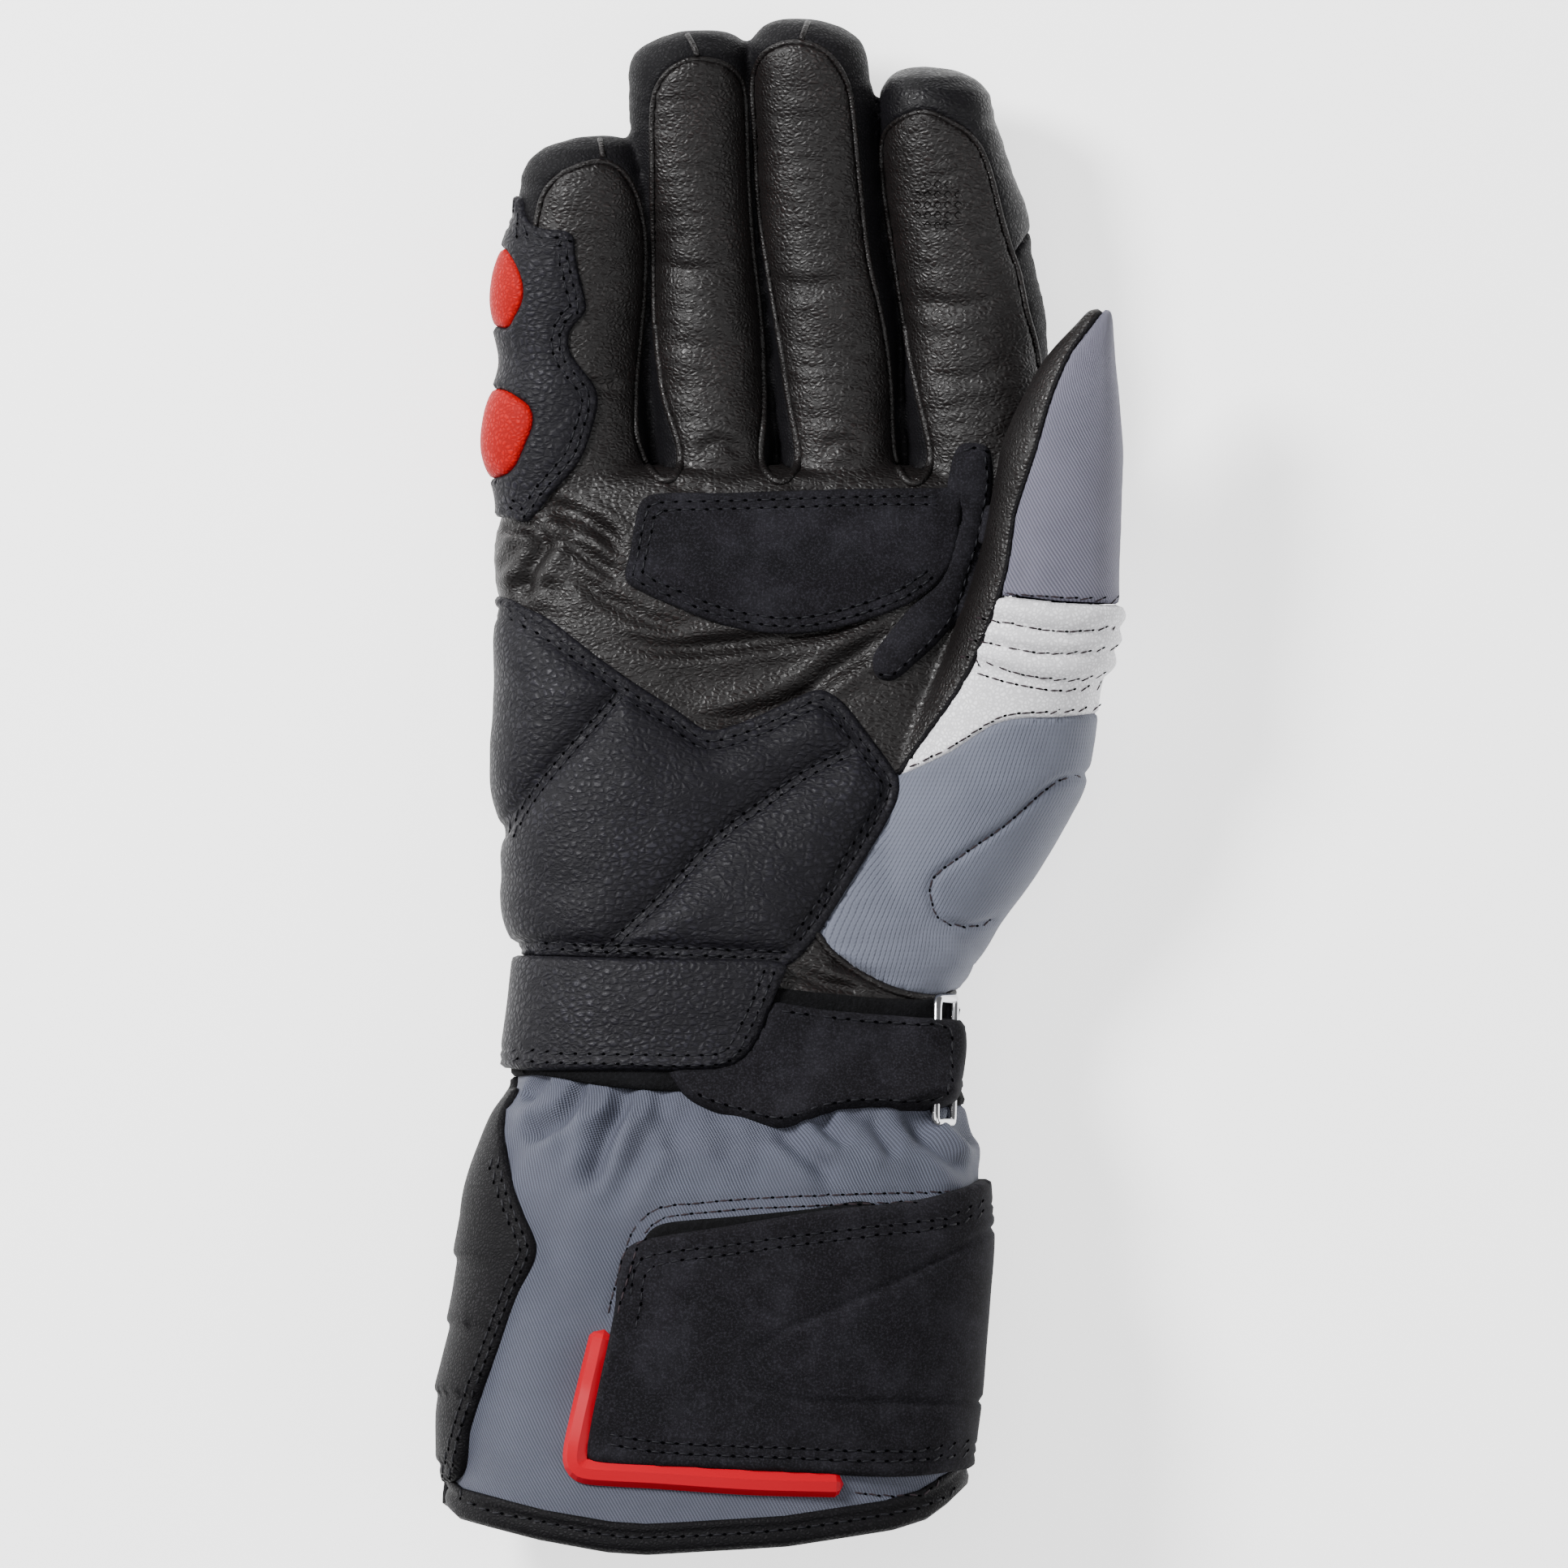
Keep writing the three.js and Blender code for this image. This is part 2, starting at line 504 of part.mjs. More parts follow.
const glove = new THREE.Group();
function add(name, material, solid) {
  const mesh = solid.getMesh();
  const spots = new Float32Array(mesh.numVert * 3);
  for (let i = 0; i < mesh.numVert; i++) {
    spots.set(mesh.vertProperties.subarray(i * mesh.numProp, i * mesh.numProp + 3), i * 3);
  }
  const geometry = new THREE.BufferGeometry();
  geometry.setAttribute("position", new THREE.BufferAttribute(spots, 3));
  geometry.setIndex(largestBody(spots, mesh.triVerts));
  const piece = new THREE.Mesh(geometry.toNonIndexed(), material);
  piece.name = name;
  glove.add(piece);
}

const handShell = hand(0).subtract(hand(-LEATHER_WALL, true));

// The finger's palm-side panel ends in a round seam short of the tip.
function fingerFront(finger, grow) {
  const seat = fingerSpot(finger);
  const half = 0.4;
  const last = 1 - TIP_SEAM_SETBACK / finger.length;
  const bend = (half * finger.width) / finger.length;
  const stops = [-0.12, 0.2, 0.45, 0.7, last - bend];
  const points = [
    ...stops.map((v) => seat([half, v])),
    ...[0.25, 0.5, 0.75].map((share) => {
      const turn = share * Math.PI;
      return seat([half * Math.cos(turn), last - bend + bend * Math.sin(turn)]);
    }),
    ...stops.reverse().map((v) => seat([-half, v])),
  ];
  return prism(widened(points, grow));
}

// The palm-side leather: four finger fronts and the palm, up to the thumb's seam.
const PALM_FRONT = [
  [-0.98, -0.01], [0.62, -0.01], [0.7, 0.11], [0.72, 0.3], [0.9, 0.5], [1.0, 0.7], [1.02, 1.012],
  [-0.95, 1.012], [-0.96, 0.7],
];
function palmFrontRegion(grow) {
  const fingers = Object.values(FINGERS).map((finger) => fingerFront(finger, grow));
  return joined([prism(widened(PALM_FRONT.map(palmSpot), grow)), ...fingers]);
}

// The thumb's outer side lies beyond a seam that runs down from its tip and round its base.
const THUMB_OUTER = [...THUMB_SEAM.map(thumbSpot), ...THUMB_FOOT.map(palmSpot), thumbSpot([10, 1.01])];
const WEB_Z = 0.34 * PALM_DEPTH;
const WEB_Y = WRIST_Y + 0.45 * PALM_LENGTH;
function thumbOuter(grow) {
  const plan = prism(widened(THUMB_OUTER, grow), { low: WEB_Z - grow });
  const base = [[0, WRIST_Y], [PALM_WIDTH, WRIST_Y], [PALM_WIDTH, WEB_Y], [0, WEB_Y]];
  const thumb = loft(thumbRows(grow + GAP), THUMB_SIDES, grow + GAP);
  return plan.intersect(prism(base, { low: 0 }).add(thumb));
}
const thumbSide = handShell.intersect(thumbOuter(0));
function slice(top, bottom) {
  return thumbSide.intersect(prism([...top, ...[...bottom].reverse()], { low: 0 }));
}
const moved = (points, by) => points.map(([x, y]) => [x, y + by]);
const TIP_EDGE = [[-3, 1.1], [12, 1.1]].map(thumbSpot);
const FLEX_TOP = [[-2, 0.5935], [-0.9, 0.5925], [0.2, 0.583], [1.8, 0.5855]].map(thumbSpot);
const FLEX_FOOT = [[0.1, 0.49], [0.43, 0.49], [0.63, 0.527], [0.79, 0.574], [0.884, 0.582], [1.05, 0.582],
  [1.222, 0.59], [1.5, 0.59]].map(palmSpot);
const HEEL_EDGE = [[0, 0], [1.8, 0]].map(palmSpot);

add("thumb_textile_panel", TWILL_GREY, slice(TIP_EDGE, moved(FLEX_TOP, GAP)));
add("thumb_base_panel", NEOPRENE_GREY, slice(moved(FLEX_FOOT, -GAP), HEEL_EDGE));
const flexField = prism([...FLEX_TOP, ...[...FLEX_FOOT].reverse()], { low: 0 });
const ribs = RIB_ROWS.map(([top, foot]) => prism([...top.map(thumbSpot), ...foot.map(thumbSpot)]));
add("thumb_flex_panel", LEATHER_WHITE, thumbSide.intersect(flexField).add(
  layer(hand, -LEATHER_WALL / 2, RIB_HEIGHT).intersect(joined(ribs)).intersect(thumbOuter(0))));

const insideHand = handShell.subtract(thumbOuter(GAP));
add("palm_leather", LEATHER_BLACK, insideHand.intersect(palmFrontRegion(0)));
const backShell = insideHand.subtract(palmFrontRegion(GAP).add(
  prism(widened(PALM_FRONT.map(palmSpot), GAP), { low: SIDE_SEAM_Z - GAP })));

// The index finger's tip and outer side carry a smooth cap of their own.
const capRegion = (grow) => prism(widened(CAP_LINE.map(fingerSpot(FINGERS.index)), grow), { low: BELOW });
add("index_cap", LEATHER_BLACK, backShell.intersect(capRegion(0)));
const withoutCap = backShell.subtract(capRegion(GAP));

// The back of the hand ends at the finger roots, and each finger has a back and side panel of its own.
const KNUCKLE_Y = CROTCH_Y - KNUCKLE_SETBACK;
const fingerCuts = [-PALM_WIDTH, -0.53 * HALF_PALM, -0.06 * HALF_PALM, 0.44 * HALF_PALM, PALM_WIDTH];
add("hand_back", LEATHER_BLACK, withoutCap.intersect(prism([[-PALM_WIDTH, WRIST_Y - GAP],
  [PALM_WIDTH, WRIST_Y - GAP], [PALM_WIDTH, KNUCKLE_Y], [-PALM_WIDTH, KNUCKLE_Y]], { low: BELOW })));
Object.keys(FINGERS).forEach((name, i) => {
  const [left, right] = [fingerCuts[i] + GAP / 2, fingerCuts[i + 1] - GAP / 2];
  const field = prism([[left, KNUCKLE_Y + GAP], [right, KNUCKLE_Y + GAP], [right, PALM_LENGTH * 2],
    [left, PALM_LENGTH * 2]], { low: BELOW });
  add(`${name}_finger_back`, LEATHER_BLACK, withoutCap.intersect(field));
});

// What is sewn onto the hand
const patch = (skin, thickness, region) => layer(skin, GAP, GAP + thickness).intersect(region);
const onPalm = (points, grow = 0, low = SIDE_SEAM_Z) => prism(widened(points.map(palmSpot), grow), { low });
const onLittle = (points, grow = 0, low = GUARD_BACK_Z) =>
  prism(widened(points.map(fingerSpot(FINGERS.little)), grow), { low });
add("palm_patch", SUEDE_BLACK,
  patch(hand, PATCH_THICKNESS, onPalm(PALM_PATCH)).subtract(onPalm(CROTCH_PATCH, GAP)));
add("thumb_crotch_patch", SUEDE_BLACK, patch(hand, PATCH_THICKNESS, onPalm(CROTCH_PATCH)));
add("heel_pad", LEATHER_GRAINED, patch(hand, PAD_THICKNESS, onPalm(HEEL_PAD, 0, 0.3 * PALM_DEPTH)));
const windows = joined([UPPER_INSERT, LOWER_INSERT].map((points) => onLittle(points, GAP, 0)));
add("little_finger_guard", LEATHER_GRAINED, patch(hand, PATCH_THICKNESS, onLittle(LITTLE_GUARD))
  .subtract(windows));
add("red_insert_upper", LEATHER_RED, patch(hand, INSERT_HEIGHT, onLittle(UPPER_INSERT, 0, INSERT_BACK_Z)));
add("red_insert_lower", LEATHER_RED, patch(hand, INSERT_HEIGHT, onLittle(LOWER_INSERT, 0, INSERT_BACK_Z)));

// The wrist: a loop band round it, a flap over the band's sewn end, and the closing strap with its ring
const BAND_TOP = GAP + LOOP_BAND_THICKNESS;
const STRAP_SEAT = BAND_TOP + GAP;
const FOLD_THICKNESS = 1;
const FOLD_RADIUS = RING_WIRE / 2 + GAP + FOLD_THICKNESS;
const wristPlan = (points, grow = 0, low = 0.5 * PALM_DEPTH) => onPalm(points, grow, low);
const bandRegion = (grow) => wristPlan(LOOP_BAND, grow, 0);
const bandSpace = layer(sleeve, 0, STRAP_SEAT).intersect(bandRegion(GAP));
add("wrist_flap", LEATHER_GRAINED, layer(sleeve, GAP, STRAP_SEAT + FLAP_THICKNESS)
  .intersect(wristPlan(WRIST_FLAP, 0, 0.4 * PALM_DEPTH)).subtract(bandSpace));

// A place on the wrist's skin, at an angle up from the thumb side
function wristSpot(y, degrees, grow) {
  const rows = sleeveRows().map((row) => ({ ...row, at: row.y }));
  const angle = THREE.MathUtils.degToRad(degrees);
  const power = 2 / column(rows, "round", y);
  const across = Math.sign(Math.cos(angle)) * Math.abs(Math.cos(angle)) ** power;
  const up = Math.sign(Math.sin(angle)) * Math.abs(Math.sin(angle)) ** power;
  return new THREE.Vector3(
    column(rows, "x", y) + across * (column(rows, "wide", y) + grow),
    y,
    column(rows, "z", y) + up * (column(rows, "deep", y) + grow),
  );
}

function rod(from, to, radius, sides = 6) {
  const line = new THREE.CylinderGeometry(radius, radius, from.distanceTo(to), sides);
  line.rotateX(Math.PI / 2);
  const holder = new THREE.Object3D();
  holder.position.copy(from).lerp(to, 0.5);
  holder.lookAt(to);
  holder.updateMatrixWorld();
  line.applyMatrix4(holder.matrixWorld);
  return solidFrom(line);
}

const strapTop = palmSpot([0, WRIST_STRAP_TOP])[1];
const strapFoot = palmSpot([0, WRIST_STRAP_FOOT])[1];
const ringTop = strapTop + RING_OVERHANG;
const ringFoot = strapFoot - RING_OVERHANG;
const ROD_SEAT = STRAP_SEAT + FOLD_RADIUS + RING_LIFT;
const onRod = (angle, y) => wristSpot(y, angle, ROD_SEAT);
const RING_ANGLES = [RING_INNER_ANGLE, (RING_INNER_ANGLE + RING_OUTER_ANGLE) / 2, RING_OUTER_ANGLE];
const topCorners = RING_ANGLES.map((angle) => onRod(angle, ringTop));
const footCorners = RING_ANGLES.map((angle) => onRod(angle, ringFoot));
const ringCorners = [...topCorners, ...[...footCorners].reverse()];
const innerX = footCorners[0].x;
const foldFoot = topCorners[0].z - FOLD_RADIUS;
function ringLoop(radius) {
  const sides = ringCorners.map((spot, i) => {
    const next = ringCorners[(i + 1) % ringCorners.length];
    const lap = radius / 2 / spot.distanceTo(next);
    return rod(spot.clone().lerp(next, -lap), next.clone().lerp(spot, -lap), radius);
  });
  return joined(sides);
}
add("wrist_ring", STEEL, ringLoop(RING_WIRE / 2));
add("wrist_loop_band", LOOP_BLACK, patch(sleeve, LOOP_BAND_THICKNESS, bandRegion(0))
  .subtract(ringLoop(RING_WIRE / 2 + GAP)));

const ringSpace = ringLoop(RING_WIRE / 2 + GAP);
function fold(top, foot, setback) {
  const along = (y) => foot.clone().lerp(top, (y - foot.y) / (top.y - foot.y));
  return rod(along(strapTop - setback), along(strapFoot + setback), FOLD_RADIUS, 8);
}
const sheet = layer(sleeve, STRAP_SEAT, STRAP_SEAT + STRAP_THICKNESS);
const beyond = (x, side) => prism([[x, ringTop + RING_WIRE], [x, ringFoot - RING_WIRE], [x + side, ringFoot - RING_WIRE],
  [x + side, ringTop + RING_WIRE]], { low: 0 });
add("wrist_strap", SUEDE_BLACK, sheet.intersect(wristPlan(WRIST_STRAP, 0, foldFoot))
  .subtract(wristPlan(WRIST_FLAP, GAP))
  .subtract(beyond(innerX, PALM_WIDTH))
  .add(fold(topCorners[0], footCorners[0], GAP)).subtract(ringSpace));
const tabArea = prism([[innerX, strapTop - 4 * GAP], [innerX - TAB_LENGTH, strapTop - 4 * GAP],
  [innerX - TAB_LENGTH, strapFoot + 4 * GAP], [innerX, strapFoot + 4 * GAP],
  [PALM_WIDTH, strapFoot + 4 * GAP], [PALM_WIDTH, strapTop - 4 * GAP]], { low: 0, high: topCorners[2].z });
add("wrist_ring_tab", SUEDE_BLACK, sheet.intersect(tabArea).add(fold(topCorners[2], footCorners[2], 4 * GAP)).subtract(ringSpace));

// The cuff: a sleeve with a bound hem, a guard, a strap with a moulded trim and the hook patch under it
const hemLine = HEM.map(cuffSpot);
const aboveHem = (by) => prism([...moved(hemLine, by),
  [CUFF_WIDTH, WRIST_Y - GAP], [-CUFF_WIDTH, WRIST_Y - GAP]], { low: BELOW });
const cuffShell = layer(sleeve, -TEXTILE_WALL, 0).intersect(aboveHem(BINDING_THICKNESS + GAP));
add("cuff_sleeve", TWILL_GREY, cuffShell);
const hemZone = aboveHem(0).subtract(aboveHem(HEM_BINDING_HEIGHT));
const hemCore = layer(sleeve, -TEXTILE_WALL - GAP, GAP).intersect(aboveHem(BINDING_THICKNESS));
add("hem_binding", LEATHER_BLACK,
  layer(sleeve, -TEXTILE_WALL - GAP - BINDING_THICKNESS, GAP + BINDING_THICKNESS)
    .intersect(hemZone).subtract(hemCore));

const FRONT_Z = 0.5 * CUFF_DEPTH;
const onCuff = (points, grow = 0, range = {}) =>
  prism(widened(points.map(cuffSpot), grow), { low: FRONT_Z, ...range });
const backHalf = { low: 0, high: FRONT_Z + GAP / 10 };
const strapRegion = (grow) => onCuff(CUFF_STRAP_FRONT, grow).add(onCuff(CUFF_STRAP_BACK, grow, backHalf));
const trimRegion = (grow) => onCuff(CUFF_TRIM, grow);
add("cuff_strap", SUEDE_BLACK, patch(sleeve, STRAP_THICKNESS, strapRegion(0)).subtract(trimRegion(GAP)));
add("cuff_strap_trim", RUBBER_RED, patch(sleeve, TRIM_HEIGHT, trimRegion(0)));
add("cuff_hook_patch", LOOP_BLACK, patch(sleeve, PATCH_THICKNESS, onCuff(HOOK_PATCH))
  .subtract(strapRegion(GAP)).subtract(trimRegion(GAP)));
const guardRegion = onCuff(SIDE_GUARD_FRONT).add(onCuff(SIDE_GUARD_BACK, 0, backHalf));
const guardSteps = GUARD_STEPS.map(([top, foot]) => onCuff(
  [[-1.5, top + GUARD_SLANT], [-1.5, foot + GUARD_SLANT], [-1.0, foot], [-1.0, top]], 0, { low: 0 }));
add("cuff_side_guard", LEATHER_GRAINED, patch(sleeve, PATCH_THICKNESS, guardRegion).add(
  patch(sleeve, PATCH_THICKNESS + GUARD_RIB_THICKNESS, joined(guardSteps)).intersect(guardRegion)));

export default glove;
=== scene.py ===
"""Looks of a right-hand motorcycle gauntlet that lies palm up.

Outlines and rows are drawn on a flat pattern sheet, six units to the millimetre, with the fingertips at
the top.
"""

import math

import bmesh
import bpy
import numpy as np
from mathutils import Matrix, Vector, noise
from mathutils.bvhtree import BVHTree
from mathutils.kdtree import KDTree


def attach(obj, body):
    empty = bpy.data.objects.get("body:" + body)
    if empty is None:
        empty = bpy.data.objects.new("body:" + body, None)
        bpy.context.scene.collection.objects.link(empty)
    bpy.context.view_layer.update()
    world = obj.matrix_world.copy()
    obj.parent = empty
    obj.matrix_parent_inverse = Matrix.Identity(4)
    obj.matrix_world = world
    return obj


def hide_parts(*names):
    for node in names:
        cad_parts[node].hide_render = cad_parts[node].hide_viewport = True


bl_info = {
    "name": "Motorcycle Gauntlet",
    "version": (1, 0, 0),
    "blender": (4, 5, 0),
    "location": "View3D > Sidebar > Gauntlet",
    "description": "Builds a motorcycle gauntlet of leather, suede and textile",
    "category": "Object",
}

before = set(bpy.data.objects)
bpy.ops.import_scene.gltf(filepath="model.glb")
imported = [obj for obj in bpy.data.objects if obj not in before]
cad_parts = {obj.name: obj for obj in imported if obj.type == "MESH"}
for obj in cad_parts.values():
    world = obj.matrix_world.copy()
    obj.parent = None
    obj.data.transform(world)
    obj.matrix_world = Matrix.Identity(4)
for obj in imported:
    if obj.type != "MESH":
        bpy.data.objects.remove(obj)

MM = 0.001
SHEET_UNIT = MM / 6
SHEET_CENTRE = (958.5, 969.5)
# Stands for any distance past the reach of a search
FAR = 1.0
DROP_HEIGHT = 0.2

PALM_ROUND, THUMB_ROUND, FINGER_ROUND = 2.6, 2.1, 2.2
CONTACT_WIDTH, CONTACT_DEPTH = 13, 4.2
CUFF_FLOOR = 2.3 * MM
CUFF_MIDDLE = 26 * MM
GATHER_TOP = 1460

PANEL_SINK, PANEL_ROLL, PANEL_WALL = 0.7, 1.3, 1.6
PATCH_WALL, PATCH_ROUNDING = 0.3, 0.55
CREASE_FADE, LIP_PLACE, LIP_SHARE = 0.22, 1.9, 0.35
PALM_CREASE_GAIN, GATHER_GAIN = 1.45, 1.4
RIB_HEIGHT, RIB_ROUND = 1.7, 2.2
STITCH_PITCH, STITCH_LIFT, STEEPEST_STITCH = 2.8 * MM, 0.05 * MM, 0.12

# Rows across a body: sheet y, left, right, then mid height, half depth and, for the palm, its hollow in
# millimetres
PALM_ROWS = [
    (577, 640, 1262, 18.0, 10.0, 0.0),
    (591, 622, 1276, 18.0, 13.4, 0.0),
    (620, 616, 1272, 18.0, 15.2, 0.0),
    (660, 602, 1262, 18.1, 16.4, 0.3),
    (729, 604, 1240, 18.4, 17.9, 1.6),
    (780, 618, 1222, 18.5, 19.0, 3.0),
    (851, 627, 1200, 18.8, 20.1, 4.0),
    (970, 617, 1182, 19.8, 21.3, 3.0),
    (1030, 621, 1183, 20.3, 21.5, 2.0),
    (1088, 636, 1184, 20.9, 21.7, 1.0),
    (1140, 634, 1190, 22.4, 21.5, 0.0),
    (1182, 640, 1196, 23.9, 21.3, 0.0),
    (1239, 648, 1168, 24.5, 21.7, 0.0),
    (1311, 638, 1164, 24.9, 22.0, 0.0),
    (1345, 640, 1166, 25.2, 22.2, 0.0),
]
THUMB_ROWS = [
    (384, 1334, 1363, 40.4, 3.0),
    (402, 1320, 1364, 40.3, 5.0),
    (420, 1302, 1365, 40.2, 6.6),
    (440, 1284, 1367, 39.9, 8.0),
    (475, 1262, 1371, 39.3, 9.8),
    (540, 1232, 1376, 37.8, 11.7),
    (620, 1214, 1375, 36.0, 12.7),
    (700, 1196, 1372, 34.0, 13.7),
    (745, 1182, 1372, 33.0, 14.0),
    (800, 1160, 1364, 30.6, 15.0),
    (860, 1130, 1350, 28.5, 16.0),
    (900, 1104, 1345, 26.8, 17.0),
    (940, 1080, 1338, 25.3, 18.0),
    (980, 1060, 1329, 24.0, 18.7),
    (1020, 1040, 1308, 22.9, 19.1),
    (1060, 1020, 1284, 22.2, 18.8),
    (1100, 1005, 1257, 21.7, 18.2),
    (1140, 1005, 1226, 21.4, 17.0),
    (1180, 1010, 1202, 21.1, 15.0),
    (1235, 1030, 1150, 21.0, 10.0),
]
# Each finger: the sheet place of its tip, the length of its dome, its rows
FINGERS = {
    "little": ((726, 172), 60, [
        (232, 635, 782, 21.5, 10.8),
        (270, 632, 787, 20.6, 11.0),
        (300, 621, 788, 20.0, 11.0),
        (360, 607, 787, 19.0, 11.2),
        (400, 608, 783, 18.5, 11.2),
        (450, 617, 780, 18.2, 11.2),
        (500, 602, 782, 18.0, 11.2),
        (560, 596, 790, 18.0, 11.4),
        (612, 611, 795, 18.0, 11.4),
        (700, 606, 800, 18.0, 11.0),
    ]),
    "ring": ((861, 41), 50, [
        (91, 770, 912, 22.6, 11.0),
        (160, 771, 914, 21.2, 11.2),
        (223, 779, 916, 20.0, 11.3),
        (300, 798, 920, 18.9, 11.4),
        (400, 797, 931, 18.2, 11.6),
        (500, 801, 939, 18.0, 11.6),
        (600, 810, 946, 18.0, 11.4),
        (700, 822, 950, 18.0, 11.0),
    ]),
    "middle": ((975, 28), 52, [
        (78, 918, 1060, 22.8, 11.6),
        (147, 922, 1068, 21.4, 11.8),
        (223, 927, 1074, 20.0, 12.0),
        (300, 932, 1081, 18.9, 12.0),
        (400, 942, 1095, 18.2, 12.1),
        (500, 950, 1098, 18.0, 12.1),
        (600, 958, 1102, 18.0, 11.8),
        (700, 966, 1104, 18.0, 11.2),
    ]),
    "index": ((1137, 87), 56, [
        (143, 1078, 1216, 22.6, 11.8),
        (215, 1083, 1238, 21.0, 12.1),
        (264, 1087, 1256, 20.0, 12.2),
        (304, 1093, 1260, 19.4, 12.2),
        (344, 1099, 1268, 18.9, 12.2),
        (387, 1106, 1277, 18.4, 12.3),
        (433, 1108, 1280, 18.1, 12.3),
        (500, 1110, 1288, 18.0, 12.2),
        (600, 1118, 1274, 18.0, 11.8),
        (720, 1130, 1230, 18.0, 10.0),
    ]),
}
# Where two fingers press together: sheet y and x, mid height in millimetres
FINGER_CONTACTS = [
    [(212, 788, 19.0), (300, 793, 17.0), (400, 790, 16.0), (500, 791, 15.5), (560, 799, 15.5),
     (606, 804, 15.5)],
    [(92, 915, 21.0), (160, 918, 19.5), (223, 921, 18.0), (300, 926, 17.0), (400, 936, 16.0),
     (500, 944, 15.5), (606, 952, 15.5)],
    [(150, 1073, 20.0), (223, 1079, 18.0), (300, 1087, 17.0), (400, 1101, 16.0), (500, 1105, 15.5),
     (606, 1111, 15.5)],
]
SLEEVE_ROWS = [
    (1150, 650, 1190, 23.5, 20.8),
    (1182, 645, 1188, 23.9, 21.3),
    (1239, 639, 1166, 24.5, 21.7),
    (1311, 630, 1160, 24.9, 22.0),
    (1340, 629, 1166, 25.8, 22.8),
    (1380, 607, 1182, 27.4, 25.0),
    (1420, 593, 1200, 29.2, 27.4),
    (1460, 581, 1201, 30.0, 28.6),
    (1540, 571, 1205, 30.8, 29.6),
    (1640, 563, 1200, 31.3, 30.1),
    (1720, 552, 1195, 31.6, 30.4),
    (1800, 543, 1190, 31.7, 30.5),
    (1860, 546, 1184, 31.7, 30.4),
    (1930, 549, 1178, 31.7, 30.2),
]
HEM_LINE = [
    (400, 1838), (540, 1846), (562, 1866), (661, 1890), (742, 1904), (790, 1907), (961, 1897),
    (1090, 1878), (1130, 1866), (1156, 1848), (1180, 1826), (1400, 1812),
]


def plan_x(x):
    """Plan position in metres of a sheet x."""
    return (x - SHEET_CENTRE[0]) * SHEET_UNIT


def plan_y(y):
    """Plan position in metres of a sheet y."""
    return (SHEET_CENTRE[1] - y) * SHEET_UNIT


def sheet_x(spots):
    return SHEET_CENTRE[0] + spots[:, 0] / SHEET_UNIT


def sheet_y(spots):
    return SHEET_CENTRE[1] - spots[:, 1] / SHEET_UNIT


def sheet_points(points):
    """Places on the pattern sheet as plan positions in metres."""
    flat = np.asarray(points, dtype=float)
    return np.column_stack((plan_x(flat[:, 0]), plan_y(flat[:, 1])))


def unit(rows, least=1e-9):
    """Rows of vectors, each brought to length 1."""
    return rows / np.maximum(np.linalg.norm(rows, axis=1), least)[:, None]


def run_of(line):
    """The length of a line up to each of its points."""
    return np.concatenate(([0], np.cumsum(np.linalg.norm(np.diff(line, axis=0), axis=1))))


def signed_power(values, power):
    return np.sign(values) * np.abs(values) ** power


def share_of(values, start, length):
    """From 0 at the start to 1 a length further on."""
    return np.clip((values - start) / length, 0, 1)


def between(a, b, into, out, t, span=1.0):
    """The smooth change from a to b at share t, where into and out are its slopes over the span."""
    return (
        (2 * t**3 - 3 * t**2 + 1) * a
        + (t**3 - 2 * t**2 + t) * into * span
        + (3 * t**2 - 2 * t**3) * b
        + (t**3 - t**2) * out * span
    )


def smooth_line(points, closed=False, step=1.0):
    """A smooth plan line through sheet points, with a point about every step of millimetres."""
    dots = sheet_points(points)
    count = len(dots)
    line = []
    for k in range(count if closed else count - 1):
        if closed:
            a, b, c, d = (dots[(k + j - 1) % count] for j in range(4))
        else:
            b, c = dots[k], dots[k + 1]
            a = dots[k - 1] if k else 2 * b - c
            d = dots[k + 2] if k + 2 < count else 2 * c - b
        reach = np.linalg.norm(c - b)
        into = (c - a) * reach / max(np.linalg.norm(c - a), 1e-9)
        out = (d - b) * reach / max(np.linalg.norm(d - b), 1e-9)
        steps = max(1, int(reach / (step * MM)))
        line += [between(b, c, into, out, j / steps) for j in range(steps)]
    return np.array(line if closed else line + [dots[-1]])


def smooth_lines(rows):
    return [smooth_line(points) for points in rows]


def inside(outline, spots):
    """Which plan spots lie inside a closed outline."""
    near = np.nonzero(((spots >= outline.min(axis=0)) & (spots <= outline.max(axis=0))).all(axis=1))[0]
    x, y = spots[near, 0], spots[near, 1]
    within = np.zeros(len(near), dtype=bool)
    for (ax, ay), (bx, by) in zip(outline, np.roll(outline, -1, axis=0)):
        crosses = (ay > y) != (by > y)
        if crosses.any():
            within ^= crosses & (x < (bx - ax) / (by - ay) * (y - ay) + ax)
    result = np.zeros(len(spots), dtype=bool)
    result[near] = within
    return result


def line_distance(line, spots, closed=False, reach=30 * MM):
    """Plan distance from each spot to a line and the nearest place on it; beyond reach it is FAR."""
    distance = np.full(len(spots), FAR)
    nearest = np.array(spots, dtype=float)
    low, high = line.min(axis=0) - reach, line.max(axis=0) + reach
    near = np.nonzero(((spots >= low) & (spots <= high)).all(axis=1))[0]
    best = np.full(len(near), FAR)
    place = spots[near].copy()
    ends = zip(line, np.roll(line, -1, axis=0)) if closed else zip(line[:-1], line[1:])
    for a, b in ends:
        along = b - a
        share = ((spots[near] - a) @ along) / max(along @ along, 1e-12)
        foot = a + np.clip(share, 0, 1)[:, None] * along
        gap = np.hypot(*(spots[near] - foot).T)
        better = gap < best
        best[better] = gap[better]
        place[better] = foot[better]
    distance[near] = best
    nearest[near] = place
    return distance, nearest


